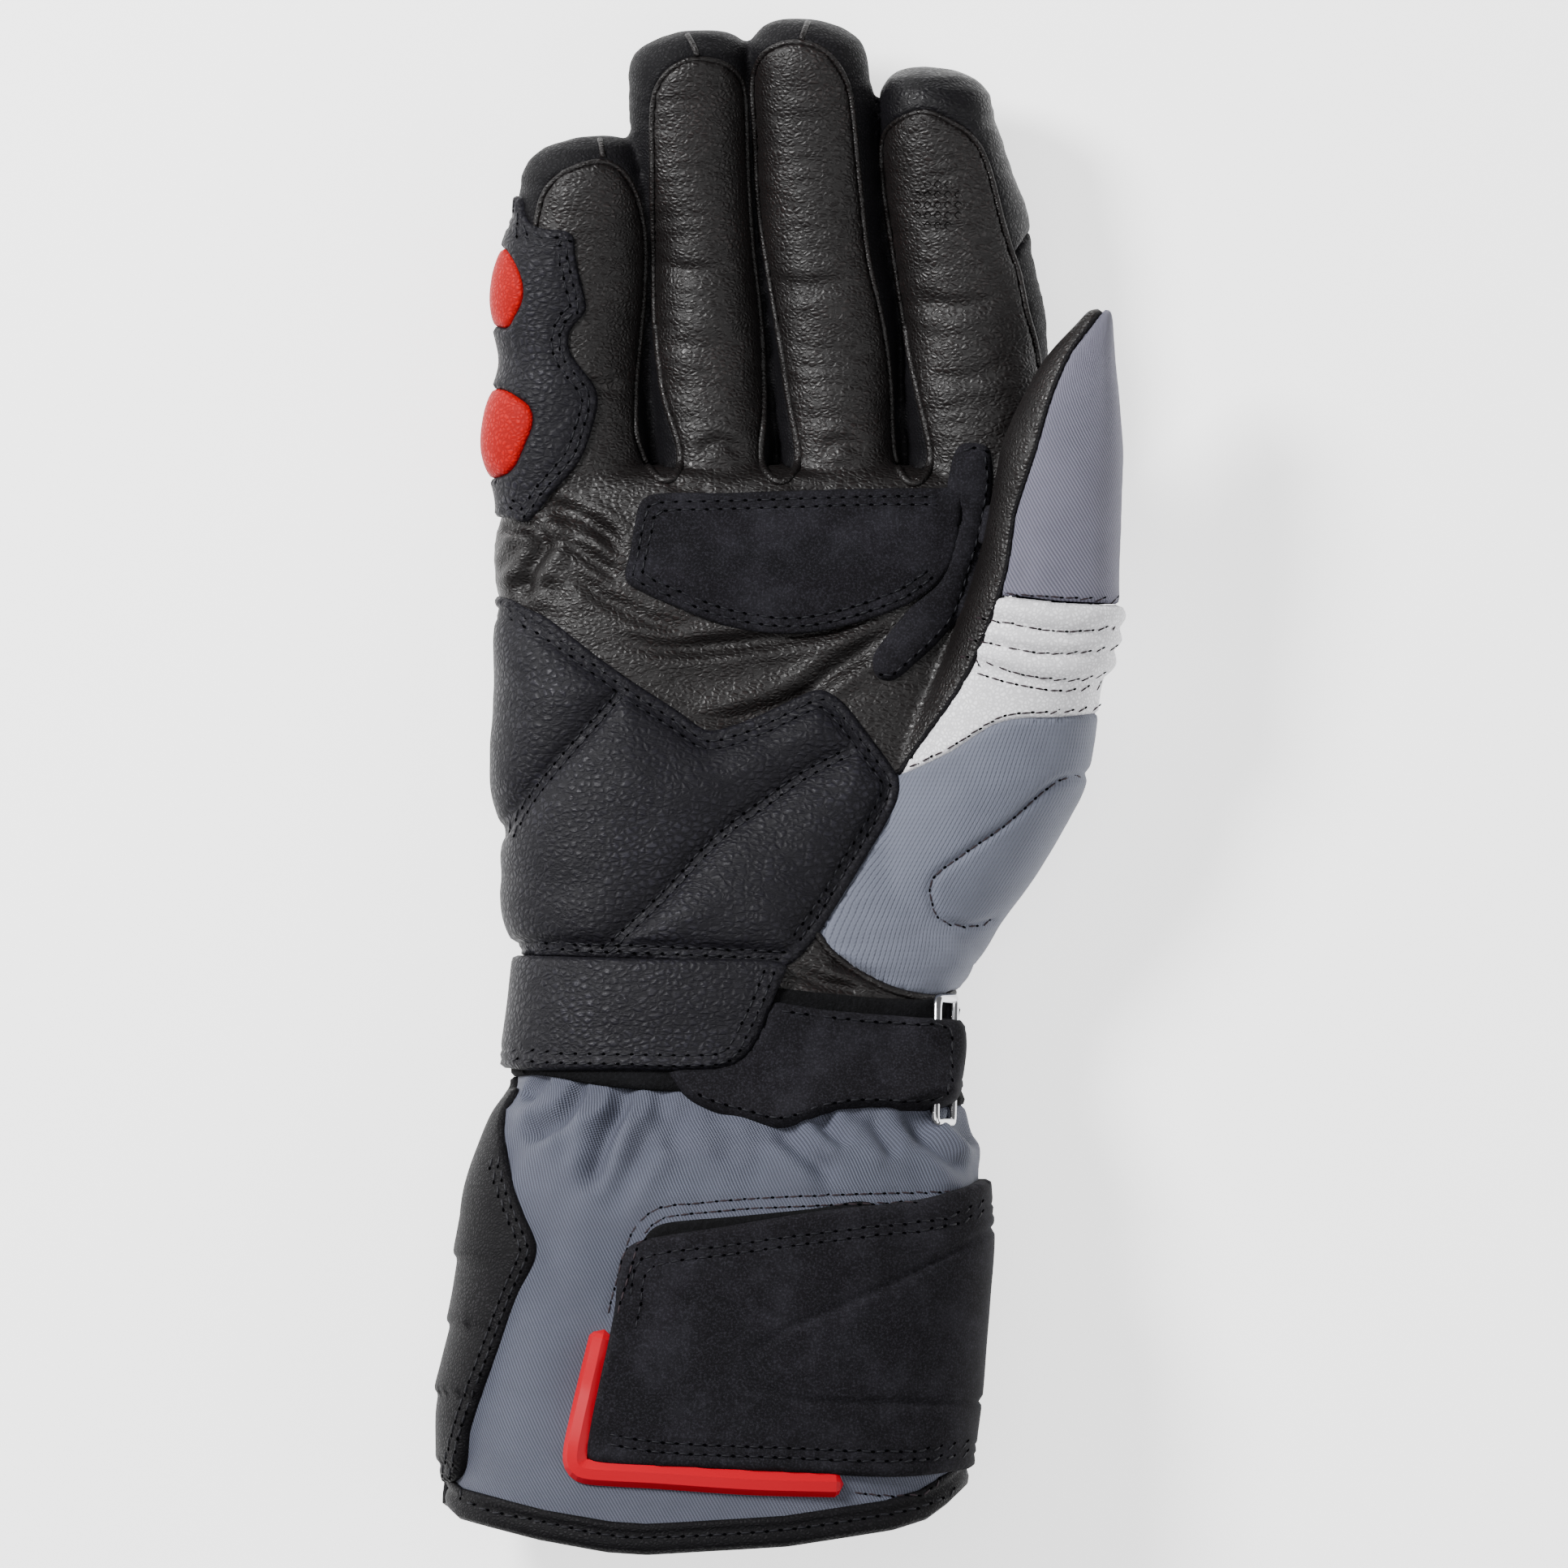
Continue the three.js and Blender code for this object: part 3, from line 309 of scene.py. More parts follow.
def headings(line, closed=False):
    """The unit direction of a line at each of its points."""
    ahead = np.roll(line, -1, axis=0) - np.roll(line, 1, axis=0)
    if not closed:
        ahead[0], ahead[-1] = line[1] - line[0], line[-1] - line[-2]
    return unit(ahead)


def offset_lines(line, *distances):
    """The same plan line moved to its left by distances in millimetres."""
    ahead = headings(line)
    left = np.column_stack((-ahead[:, 1], ahead[:, 0]))
    return [line + distance * MM * left for distance in distances]


def even_points(line, pitch):
    """Points along a plan line at an even pitch, and the unit direction at each."""
    run = run_of(line)
    count = max(2, int(run[-1] / pitch))
    at = (np.arange(count) + 0.5) * run[-1] / count
    spots, ahead, back = (
        np.column_stack([np.interp(at + shift, run, column) for column in line.T])
        for shift in (0, pitch / 4, -pitch / 4)
    )
    return spots, unit(ahead - back)


class Body:
    """A tube along the sheet's y through rows of rounded sections, with or without a domed tip."""

    def __init__(self, rows, roundness, tip=None, dome=0, grow=0.0):
        table = np.array([(*row, 0.0)[:6] for row in sorted(rows, reverse=True)], dtype=float)
        self.tip_x, self.tip_y = (plan_x(tip[0]), plan_y(tip[1])) if tip else (None, plan_y(table[-1, 0]))
        self.dome = dome * SHEET_UNIT
        self.ys = plan_y(table[:, 0])
        self.low_y = self.ys[0]
        left, right = plan_x(table[:, 1]), plan_x(table[:, 2])
        self.values = np.column_stack(((left + right) / 2, (right - left) / 2, table[:, 3:] * MM))
        self.slopes = np.gradient(self.values, self.ys, axis=0)
        self.roundness = roundness
        self.grow = grow

    def section(self, y):
        """Mid x, half width, mid z, half depth and hollow at y, with smooth changes from row to row."""
        y = np.asarray(y, dtype=float)
        k = np.clip(np.searchsorted(self.ys, y) - 1, 0, len(self.ys) - 2)
        span = self.ys[k + 1] - self.ys[k]
        t = np.clip((y - self.ys[k]) / span, 0, 1)[:, None]
        ends = self.values[k], self.values[k + 1], self.slopes[k], self.slopes[k + 1]
        result = between(*ends, t, span[:, None])
        result[:, [1, 3]] += self.grow
        if self.dome:
            into = np.clip((y - (self.tip_y - self.dome)) / (self.dome + self.grow), 0, 1)
            result[:, [1, 3]] *= ((1 - into**2.5) ** (1 / 2.5))[:, None]
            result[:, 0] += (self.tip_x - self.values[-1, 0]) * into**2
        return result

    def stations(self, step):
        """Heights y of the rings, closer together in the dome."""
        shoulder = self.tip_y - self.dome
        straight = np.linspace(self.low_y, shoulder, max(2, int((shoulder - self.low_y) / step)))
        if not self.dome:
            return straight
        turn = np.linspace(0, math.pi / 2, 18)[1:]
        return np.concatenate((straight, shoulder + (self.dome + self.grow * 0.98) * np.sin(turn)))

    def surface(self, ys, angles):
        """The places on the tube for arrays of y and angle up from the thumb side."""
        x, wide, z, deep, hollow = self.section(ys).T
        across, up = (signed_power(part(angles), 2 / self.roundness) for part in (np.cos, np.sin))
        dip = hollow * np.clip(up, 0, 1) * np.clip(1 - across**2, 0, 1) ** 2
        return np.column_stack((x + across * wide, ys, z + up * deep - dip))

    def depth_in(self, spots):
        """Near 1 on the tube's skin, less inside and more outside."""
        x, wide, z, deep, _ = self.section(np.clip(spots[:, 1], self.low_y, self.tip_y)).T
        wide, deep = np.maximum(wide, 1e-5), np.maximum(deep, 1e-5)
        across = np.abs((spots[:, 0] - x) / wide) ** self.roundness
        up = np.abs((spots[:, 2] - z) / deep) ** self.roundness
        beyond = np.maximum(self.low_y - spots[:, 1], 0) + np.maximum(spots[:, 1] - self.tip_y, 0)
        return (across + up) ** (1 / self.roundness) + beyond / MM

    def cloth_spots(self, spots):
        """Places on the body's cloth: arc length from the middle of its top, and the way along it."""
        x, wide, z, deep, _ = self.section(np.clip(spots[:, 1], self.low_y, self.tip_y)).T
        across = (spots[:, 0] - x) / np.maximum(wide, MM)
        up = (spots[:, 2] - z) / np.maximum(deep, MM)
        turn = np.arctan2(*(signed_power(part, self.roundness / 2) for part in (across, up)))
        turns = np.linspace(-math.pi, math.pi, 361)
        round_x, round_z = (signed_power(part(turns), 2 / self.roundness) for part in (np.sin, np.cos))
        run = run_of(np.column_stack((round_x * np.median(wide), round_z * np.median(deep))))
        return np.column_stack((np.interp(turn, turns, run - run[180]), spots[:, 1], np.zeros(len(spots))))


def tube_mesh(body, around, step, floor=0.0, capped=False):
    """A tube as a grid that is rolled up and welded, in a new bmesh."""
    ys = body.stations(step)
    bm = bmesh.new()
    bmesh.ops.create_grid(bm, x_segments=around, y_segments=len(ys) - 1, size=0.5)
    flat = np.array([v.co[:] for v in bm.verts])
    angles = (flat[:, 0] + 0.5) * 2 * math.pi
    rows = np.clip(np.rint((flat[:, 1] + 0.5) * (len(ys) - 1)).astype(int), 0, len(ys) - 1)
    places = body.surface(ys[rows], angles)
    places[:, 2] = np.maximum(places[:, 2], floor)
    for vert, place in zip(bm.verts, places):
        vert.co = place
    bmesh.ops.remove_doubles(bm, verts=bm.verts[:], dist=1e-6)
    if capped:
        close_holes(bm)
    bmesh.ops.recalc_face_normals(bm, faces=bm.faces[:])
    return bm


def close_holes(bm):
    rim = [edge for edge in bm.edges if edge.is_boundary]
    bmesh.ops.holes_fill(bm, edges=rim, sides=0)


class Skin:
    """A fine skin as arrays: places, normals and faces. Pieces are taken from it by outline."""

    def __init__(self, mesh):
        self.places = np.empty(len(mesh.vertices) * 3)
        mesh.vertices.foreach_get("co", self.places)
        self.places = self.places.reshape(-1, 3)
        self.faces = [tuple(p.vertices) for p in mesh.polygons]
        bpy.data.meshes.remove(mesh)
        self.corners = np.array([f if len(f) == 4 else f + (f[-1],) for f in self.faces])
        pairs = np.vstack([self.corners[:, [k, (k + 1) % 4]] for k in range(4)])
        pairs = pairs[pairs[:, 0] != pairs[:, 1]]
        self.pairs = np.unique(np.sort(pairs, axis=1), axis=0)
        self.renew()

    def renew(self):
        """Works the normals out again after the places were changed."""
        a, b, c, d = (self.places[self.corners[:, k]] for k in range(4))
        flat = np.cross(c - a, d - b)
        summed = np.zeros_like(self.places)
        for k in range(4):
            np.add.at(summed, self.corners[:, k], flat)
        self.normals = unit(summed, 1e-12)
        self.centres = (a + b + c + d) / 4

    def relax(self, values, rounds):
        """Averages values with those of the neighbours."""
        values = values.copy()
        degree = np.maximum(np.bincount(self.pairs.ravel(), minlength=len(values)).astype(float), 1)
        for _ in range(rounds):
            total = np.zeros_like(values)
            np.add.at(total, self.pairs[:, 0], values[self.pairs[:, 1]])
            np.add.at(total, self.pairs[:, 1], values[self.pairs[:, 0]])
            average = total / (degree[:, None] if values.ndim > 1 else degree)
            values = (values + average) / 2
        return values

    def press(self, depth):
        """Moves the skin inwards along its normals by a depth for each vertex."""
        self.places -= self.normals * depth[:, None]
        self.renew()

    def lift_to(self, floor):
        """Raises what lies below the floor onto it."""
        self.places[:, 2] = np.maximum(self.places[:, 2], floor)
        self.renew()

    def copy(self):
        twin = Skin.__new__(Skin)
        twin.__dict__.update(self.__dict__)
        twin.places = self.places.copy()
        return twin

    def faces_in(self, outline, low=-FAR):
        """Which faces have their centre inside a closed plan outline and above a height."""
        return inside(outline, self.centres[:, :2]) & (self.centres[:, 2] > low)

    def border_of(self, chosen):
        """The vertices that chosen and other faces share."""
        touched = np.zeros(len(self.places), dtype=int)
        for k in range(4):
            np.bitwise_or.at(touched, self.corners[:, k], np.where(chosen, 1, 2))
        return np.nonzero(touched == 3)[0]

    def pull_border(self, chosen, outline, closed=True):
        """Moves the border vertices of some faces onto the outline that they nearly follow."""
        border = self.border_of(chosen)
        _, nearest = line_distance(outline, self.places[border, :2], closed=closed, reach=2 * MM)
        pull = np.zeros((len(border), 3))
        pull[:, :2] = nearest - self.places[border, :2]
        pull[np.linalg.norm(pull, axis=1) > 1.2 * MM] = 0
        normal = self.normals[border]
        pull -= normal * (pull * normal).sum(axis=1)[:, None]
        self.places[border] += pull
        self.renew()

    def even_border(self, chosen):
        """Takes the small steps out of the border of some faces, along the skin."""
        border = self.border_of(chosen)
        one, other = self.pairs[np.isin(self.pairs, border).all(axis=1)].T
        count = np.bincount(np.concatenate((one, other)), minlength=len(self.places))[border]
        normal = self.normals[border]
        for _ in range(4):
            total = np.zeros_like(self.places)
            np.add.at(total, one, self.places[other])
            np.add.at(total, other, self.places[one])
            move = total[border] / np.maximum(count, 1)[:, None] - self.places[border]
            move -= normal * (move * normal).sum(axis=1)[:, None]
            self.places[border] += np.where(count[:, None] > 1, move / 2, 0)
        self.renew()

    def rounded_edge(self, chosen, width):
        """From 1 at the border of some faces to 0 a width inside it, along a quarter round."""
        border = self.border_of(chosen)
        tree = nearby(self.places[border])
        away = np.full(len(self.places), FAR)
        for vert in np.unique(self.corners[chosen]) if len(border) else ():
            gap = tree.find(self.places[vert])[2]
            if gap <= width:
                away[vert] = gap
        return 1 - np.sqrt(1 - (1 - np.clip(away / width, 0, 1)) ** 2)


def nearby(places):
    """A tree for finding the nearest of some places."""
    tree = KDTree(max(1, len(places)))
    for k, place in enumerate(places):
        tree.insert(place, k)
    tree.balance()
    return tree


def crease_depth(spots, creases):
    """Depth of creases with low lips. Each row holds a line, its depth and half width in millimetres."""
    total = np.zeros(len(spots))
    for points, depth, width in creases:
        line = smooth_line(points, step=1.5)
        away, nearest = line_distance(line, spots, reach=width * 4 * MM)
        ends = np.minimum(*(np.hypot(*(nearest - end).T) for end in (line[0], line[-1])))
        fade = np.clip(ends / (CREASE_FADE * run_of(line)[-1]), 0.0, 1.0)
        groove = np.exp(-((away / (width * MM)) ** 2))
        lips = np.exp(-((away / (width * MM) - LIP_PLACE) ** 2))
        total += np.where(away < FAR / 2, depth * MM * fade * (groove - LIP_SHARE * lips), 0)
    return total


def grooves(spots, lines):
    """Depth pressed in by stitch lines. Each row holds a plan line, a depth and a half width in metres."""
    total = np.zeros(len(spots))
    for line, depth, width in lines:
        away, _ = line_distance(line, spots, reach=3 * width)
        total += np.where(away < FAR / 2, depth * np.exp(-((away / width) ** 2)), 0)
    return total


def pressed(lines, depth, width):
    """Stitch lines with the depth and half width in millimetres that they press in."""
    return [(line, depth * MM, width * MM) for line in lines]


def mesh_from(bm, name="form"):
    mesh = bpy.data.meshes.new(name)
    bm.to_mesh(mesh)
    bm.free()
    return mesh


def pour(bm, whole):
    """Moves all of a bmesh into another one."""
    mesh = mesh_from(bm)
    whole.from_mesh(mesh)
    bpy.data.meshes.remove(mesh)


def object_from(name, bm, material, smooth=True):
    for face in bm.faces:
        face.smooth = smooth
    piece = bpy.data.objects.new(name, mesh_from(bm, name))
    bpy.context.scene.collection.objects.link(piece)
    piece.data.materials.append(material)
    return piece


def spot_key(place):
    return tuple(round(c, 7) for c in place)


def piece_from(name, skin, chosen, places, material, skirt):
    """A new object from chosen faces of a skin, with its open border turned in by a skirt of offsets."""
    faces = [skin.faces[i] for i in np.nonzero(chosen)[0]]
    used = np.unique(np.concatenate(faces))
    lookup = {int(v): i for i, v in enumerate(used)}
    mesh = bpy.data.meshes.new("form")
    mesh.from_pydata([places[v] for v in used], [], [[lookup[v] for v in f] for f in faces])
    bm = bmesh.new()
    bm.from_mesh(mesh)
    bpy.data.meshes.remove(mesh)
    bm.verts.ensure_lookup_table()
    offsets = {bm.verts[i]: Vector(skirt[v]) for i, v in enumerate(used)}
    rim = [edge for edge in bm.edges if edge.is_boundary]
    made = bmesh.ops.extrude_edge_only(bm, edges=rim)["geom"]
    at = {spot_key(v.co): offsets[v] for e in rim for v in e.verts}
    for vert in made:
        if isinstance(vert, bmesh.types.BMVert):
            vert.co += at.get(spot_key(vert.co), Vector((0, 0, 0)))
    bmesh.ops.dissolve_degenerate(bm, dist=1e-7, edges=bm.edges[:])
    return object_from(name, bm, material)


def settle(piece, nodes=()):
    """Hands a finished piece to the frame."""
    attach(piece, "root")
    if nodes:
        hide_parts(*nodes)
    return piece


def sunk_panel(name, skin, chosen, material, lines=()):
    """A sewn panel: the skin's own faces, whose border rolls in towards the seam."""
    depth = PANEL_SINK * MM * skin.rounded_edge(chosen, PANEL_ROLL * MM) + grooves(skin.places[:, :2], lines)
    places = skin.places - skin.normals * depth[:, None]
    return piece_from(name, skin, chosen, places, material, -skin.normals * PANEL_WALL * MM)


def raised_patch(name, skin, chosen, thickness, material, seat, edge, height, lines):
    """A sewn-on patch: the skin's faces lifted by seat and thickness, with rounded edges and a side wall.

    height, if given, is the thickness in metres for each vertex of the skin.
    """
    skin.even_border(chosen)
    rounding = PATCH_ROUNDING * thickness * MM * skin.rounded_edge(chosen, edge * MM)
    rise = (thickness * MM if height is None else height) - rounding
    rise = rise + seat * MM - grooves(skin.places[:, :2], lines)
    places = skin.places + skin.normals * rise[:, None]
    return piece_from(name, skin, chosen, places, material, -skin.normals * (rise + PATCH_WALL * MM)[:, None])


def top_tree(*pieces):
    """A tree of all the faces of some pieces, for finding the top surface under a plan place."""
    verts, faces = [], []
    for piece in pieces:
        base = len(verts)
        verts.extend(v.co.copy() for v in piece.data.vertices)
        faces.extend(tuple(base + i for i in p.vertices) for p in piece.data.polygons)
    return BVHTree.FromPolygons(verts, faces)


def dropped(tree, spots, lift=0.0):
    """Plan spots dropped onto a tree from above: places and normals, with None where nothing lies below."""
    found = []
    for x, y in spots:
        place, normal, _, _ = tree.ray_cast(Vector((x, y, DROP_HEIGHT)), Vector((0, 0, -1)))
        if place is None:
            found.append(None)
            continue
        if normal.z < 0:
            normal.negate()
        found.append((place + normal * lift, normal))
    return found


def stitches(name, tree, rows, finish, thread="thread", width=0.5):
    """Thread stitches along plan lines: small beads sunk into the surface, each with a near black bead after it that
    paints the shade of a needle hole.
    """
    pitch, width = STITCH_PITCH, width * MM
    # Shift along the row, half sizes, rings and finish of the thread's bead and of the dark bead of painted
    # needle-hole shade
    beads = (
        (0.0, (1.05 * MM, width / 2, width * 0.42), 5, 0),
        (pitch / 2, (pitch * 0.17, width * 0.62, width * 0.3), 4, 1),
    )
    whole = bmesh.new()
    for line in rows:
        bm = bmesh.new()
        spots, ways = even_points(line, pitch)
        for hit, way in zip(dropped(tree, spots, STITCH_LIFT), ways):
            if hit is None or hit[1].z < STEEPEST_STITCH:
                continue
            place, up = hit
            ahead = Vector((*way, 0))
            ahead = (ahead - up * ahead.dot(up)).normalized()
            turn = Matrix((ahead, up.cross(ahead), up)).transposed().to_4x4()
            for shift, size, rings, index in beads:
                matrix = Matrix.Translation(place + ahead * shift) @ turn @ Matrix.Diagonal((*size, 1))
                made = bmesh.ops.create_uvsphere(bm, u_segments=6, v_segments=rings, radius=1, matrix=matrix)
                for vert in made["verts"]:
                    for face in vert.link_faces:
                        face.material_index = index
        pour(bm, whole)
    piece = object_from(name, whole, finish[thread])
    # Second material: the painted shade of the needle holes
    piece.data.materials.append(finish["hole"])
    return settle(piece)


def swept(name, places, ups, profile, material, closed=False, taper=0.0, smooth=True):
    """A profile of (side, up) offsets in millimetres swept along places, with its up side along the ups."""
    count, around = len(places), len(profile)
    rows = count if closed else count - 1
    ahead = headings(places, closed)
    ups = unit(ups - ahead * (ups * ahead).sum(axis=1)[:, None])
    sides = np.cross(ahead, ups)
    bm = bmesh.new()
    bmesh.ops.create_grid(bm, x_segments=around, y_segments=rows, size=0.5)
    for vert in bm.verts:
        k = int(round((vert.co.x + 0.5) * around)) % around
        j = int(round((vert.co.y + 0.5) * rows))
        share = min(1.0, min(j, rows - j) / max(1.0, taper * rows)) if taper else 1.0
        shrink = max(0.05, math.sqrt(share))
        j %= count
        side, up = profile[k]
        vert.co = Vector(places[j] + sides[j] * side * MM * shrink + ups[j] * up * MM * shrink)
    bmesh.ops.remove_doubles(bm, verts=bm.verts[:], dist=1e-7)
    if not closed:
        close_holes(bm)
    bmesh.ops.recalc_face_normals(bm, faces=bm.faces[:])
    return object_from(name, bm, material, smooth)


def oval(wide, high, sides=8):
    turns = [2 * math.pi * k / sides for k in range(sides)]
    return [(wide * math.cos(a), high * math.sin(a)) for a in turns]


def along_surface(tree, line, step=0.8):
    """Places and normals every step along a plan line dropped onto a surface, smoothed a little."""
    spots, _ = even_points(line, step * MM)
    runs = [[]]
    for hit in dropped(tree, spots):
        if hit is None or (runs[-1] and (hit[0] - runs[-1][-1][0]).length > 3.5 * step * MM):
            runs.append([])
        if hit is not None:
            runs[-1].append(hit)
    hits = max(runs, key=len)
    places, ups = (np.array([hit[k][:] for hit in hits]) for k in (0, 1))
    for _ in range(3):
        for rows in (places, ups):
            rows[1:-1] = (rows[:-2] + 2 * rows[1:-1] + rows[2:]) / 4
    return places, ups


def joined_pieces(name, pieces):
    """One object from several that share a material."""
    bm = bmesh.new()
    material = pieces[0].data.materials[0]
    for piece in pieces:
        bm.from_mesh(piece.data)
        bpy.data.objects.remove(piece)
    return object_from(name, bm, material)


def welt(name, lines, radius, finish, tree):
    """Piping along plan lines, joined into one piece."""
    runs = []
    for k, line in enumerate(lines):
        places, ups = along_surface(tree, line)
        if len(places) > 4:
            runs.append(swept(f"{name} {k}", places, ups, oval(radius, radius), finish))
    return settle(joined_pieces(name, runs))


# Outlines on the pattern sheet
FINGER_FRONTS = [
    (586, 720), (592, 650), (634, 610), (642, 560), (640, 480), (644, 400), (648, 330), (651, 290),
    (656, 262), (664, 238), (682, 219), (705, 208), (736, 202), (757, 212), (770, 230), (780, 256),
    (787, 300), (786, 360), (781, 420), (776, 470), (776, 536), (783, 560), (794, 582), (811, 595),
    (826, 586), (830, 568), (827, 545), (811, 495), (804, 450), (799, 399), (797, 300), (796, 200),
    (797, 130), (804, 106), (817, 90), (842, 77), (874, 78), (895, 88), (907, 104), (911, 130), (914, 223),
    (919, 300), (928, 380), (932, 430), (933, 500), (929, 552), (932, 574), (939, 587), (953, 597),
    (967, 589), (975, 572), (974, 550), (964, 495), (957, 446), (948, 390), (938, 330), (927, 255),
    (922, 159), (919, 108), (924, 84), (935, 68), (957, 57), (983, 56), (1011, 68), (1030, 92),
    (1040, 120), (1045, 160), (1051, 223), (1062, 319), (1078, 390), (1085, 430), (1090, 478), (1093, 550),
    (1098, 575), (1105, 590), (1117, 598), (1130, 590), (1138, 574), (1138, 553), (1125, 495), (1112, 430),
    (1100, 359), (1089, 287), (1080, 225), (1079, 180), (1086, 162), (1098, 152), (1115, 144), (1135, 141),
    (1161, 152), (1184, 166), (1201, 187), (1212, 215), (1220, 245), (1227, 273), (1238, 310), (1247, 335),
    (1258, 387), (1270, 430), (1276, 480), (1276, 580), (1258, 720),
]
SEAM_RUNS = [FINGER_FRONTS[start:end] for start, end in ((7, 24), (23, 48), (47, 76), (75, 100))]
TIP_SEAMS = [
    [(731, 172), (733, 184), (736, 200)],
    [(838, 44), (846, 58), (853, 75)],
    [(989, 28), (984, 40), (979, 55)],
]
CROTCH_LOOPS = [
    [(783, 400), (777, 470), (776, 536), (783, 561), (794, 583), (811, 597), (827, 588), (832, 568),
     (828, 545), (812, 495), (805, 450), (801, 400)],
    [(930, 400), (933, 470), (932, 530), (929, 560), (932, 578), (940, 591), (953, 599), (967, 591),
     (977, 572), (976, 550), (965, 495), (958, 446), (950, 400)],
    [(1084, 400), (1091, 470), (1093, 550), (1098, 577), (1106, 593), (1117, 601), (1131, 593),
     (1140, 575), (1139, 553), (1126, 495), (1114, 440), (1108, 400)],
]
CAP_OUTLINE = [
    (1060, 200), (1060, 60), (1300, 60), (1300, 276), (1268, 281), (1240, 324), (1225, 290), (1200, 240),
    (1160, 200),
]
THUMB_SEAM = [
    (1352, 384), (1344, 394), (1333, 408), (1311, 437), (1293, 475), (1282, 506), (1266, 562), (1246, 622),
    (1241, 640), (1233, 698), (1221, 743), (1212, 768), (1202, 795), (1187, 828), (1160, 872), (1128, 915),
    (1098, 959), (1094, 990), (1062, 1050), (1020, 1118), (1000, 1150), (1012, 1172), (1049, 1200),
    (1094, 1222), (1145, 1232), (1168, 1226), (1190, 1221),
]
THUMB_SIDE = THUMB_SEAM + [(1420, 1215), (1440, 900), (1440, 500), (1420, 360)]
TWILL_FOOT = [
    (1150, 735), (1218, 738), (1240, 738), (1300, 745), (1373, 748), (1430, 752),
]
FLEX_FOOT = [
    (1040, 968), (1098, 957), (1132, 944), (1162, 930), (1190, 912), (1216, 897), (1245, 890), (1299, 888),
    (1355, 882), (1440, 876),
]
THUMB_RIBS = [
    [(1190, 764), (1214, 768), (1299, 782), (1377, 776), (1440, 770)],
    [(1180, 790), (1203, 795), (1282, 809), (1371, 803), (1440, 796)],
    [(1170, 812), (1195, 816), (1249, 834), (1315, 842), (1369, 832), (1440, 826)],
]
THUMB_PAD = [
    (1345, 950), (1336, 957), (1295, 967), (1232, 1019), (1174, 1060), (1143, 1085), (1139, 1106),
    (1150, 1135), (1187, 1145), (1216, 1139),
]
THUMB_STITCHING = [
    [(1228, 735), (1300, 740), (1373, 745)],
    [(1110, 950), (1162, 925), (1216, 891), (1245, 883), (1299, 881), (1350, 876)],
    [(1192, 832), (1240, 846), (1299, 855), (1355, 849)],
]
THUMB_EDGE = [
    (990, 1146), (1000, 1156), (1015, 1176), (1051, 1203), (1096, 1225), (1149, 1234), (1170, 1227),
    (1186, 1222),
]
PALM_PATCH = [
    (799, 613), (782, 622), (776, 645), (768, 690), (762, 718), (780, 731), (815, 747), (884, 774),
    (960, 785), (1025, 777), (1109, 749), (1150, 720), (1168, 690), (1176, 640), (1176, 606), (1152, 606),
    (1100, 606), (980, 609), (880, 612),
]
PATCH_STITCHING = [
    [(1150, 616), (1100, 615), (980, 618), (880, 621), (806, 623), (793, 629), (786, 648), (778, 690),
     (773, 713), (785, 722), (818, 738), (886, 764), (960, 775), (1022, 768), (1103, 741), (1140, 716)],
    [(1150, 626), (1100, 625), (980, 628), (880, 631), (812, 633), (801, 640), (795, 660), (788, 690),
     (785, 706), (792, 714), (822, 729), (888, 754), (960, 765), (1018, 758), (1098, 731), (1134, 708)],
]
CROTCH_PATCH = [
    (1174, 552), (1194, 548), (1211, 554), (1215, 572), (1217, 594), (1209, 648), (1194, 705), (1174, 763),
    (1148, 795), (1121, 820), (1092, 843), (1076, 841), (1067, 828), (1068, 812), (1086, 786), (1117, 749),
    (1148, 721), (1160, 690), (1168, 660), (1176, 640), (1172, 624), (1160, 612), (1163, 585),
]
HEEL_PAD = [
    (560, 740), (617, 740), (640, 752), (667, 765), (732, 815), (774, 845), (828, 880), (862, 904),
    (878, 903), (924, 887), (981, 860), (1000, 853), (1015, 857), (1034, 872), (1066, 914), (1096, 956),
    (1101, 971), (1092, 1002), (1057, 1063), (1012, 1136), (990, 1168), (958, 1195), (900, 1191),
    (780, 1185), (640, 1181), (560, 1181),
]
HEEL_QUILTING = [
    [(757, 857), (716, 905), (675, 952), (645, 990), (620, 1030)],
    [(1042, 928), (990, 955), (943, 987), (878, 1036), (809, 1109), (738, 1176)],
]
HEEL_STITCHING = [
    (560, 752), (615, 753), (660, 776), (725, 824), (770, 857), (824, 892), (858, 915), (880, 915),
    (928, 899), (984, 872), (1000, 866), (1012, 869), (1024, 879), (1056, 920), (1085, 960), (1088, 973),
    (1080, 999), (1046, 1056), (1001, 1130), (978, 1160),
]
HEEL_FOOT = [
    (560, 1174), (640, 1174), (900, 1182), (960, 1186),
]
HEEL_FOOT_STITCHING = [
    [(600, 1172), (640, 1173), (900, 1182), (950, 1185)],
    [(600, 1163), (640, 1164), (900, 1173), (958, 1176)],
]
GUARD_OUTLINE = [
    (560, 245), (634, 244), (637, 262), (646, 278), (660, 285), (697, 291), (701, 318), (708, 350),
    (714, 386), (700, 402), (692, 420), (696, 440), (712, 462), (725, 480), (728, 501), (720, 535),
    (708, 568), (690, 592), (668, 616), (655, 634), (640, 647), (616, 640), (560, 640),
]
UPPER_INSERT = [
    (560, 308), (606, 307), (618, 309), (627, 322), (634, 337), (639, 356), (638, 374), (629, 392),
    (619, 408), (604, 402), (560, 400),
]
LOWER_INSERT = [
    (560, 484), (600, 482), (617, 484), (634, 494), (647, 505), (650, 526), (640, 552), (627, 580),
    (610, 590), (560, 588),
]
FLAP_OUTLINE = [
    (560, 1181), (640, 1183), (800, 1187), (964, 1191), (956, 1210), (946, 1234), (931, 1270), (917, 1298),
    (899, 1317), (872, 1324), (760, 1324), (649, 1323), (622, 1318), (560, 1316),
]
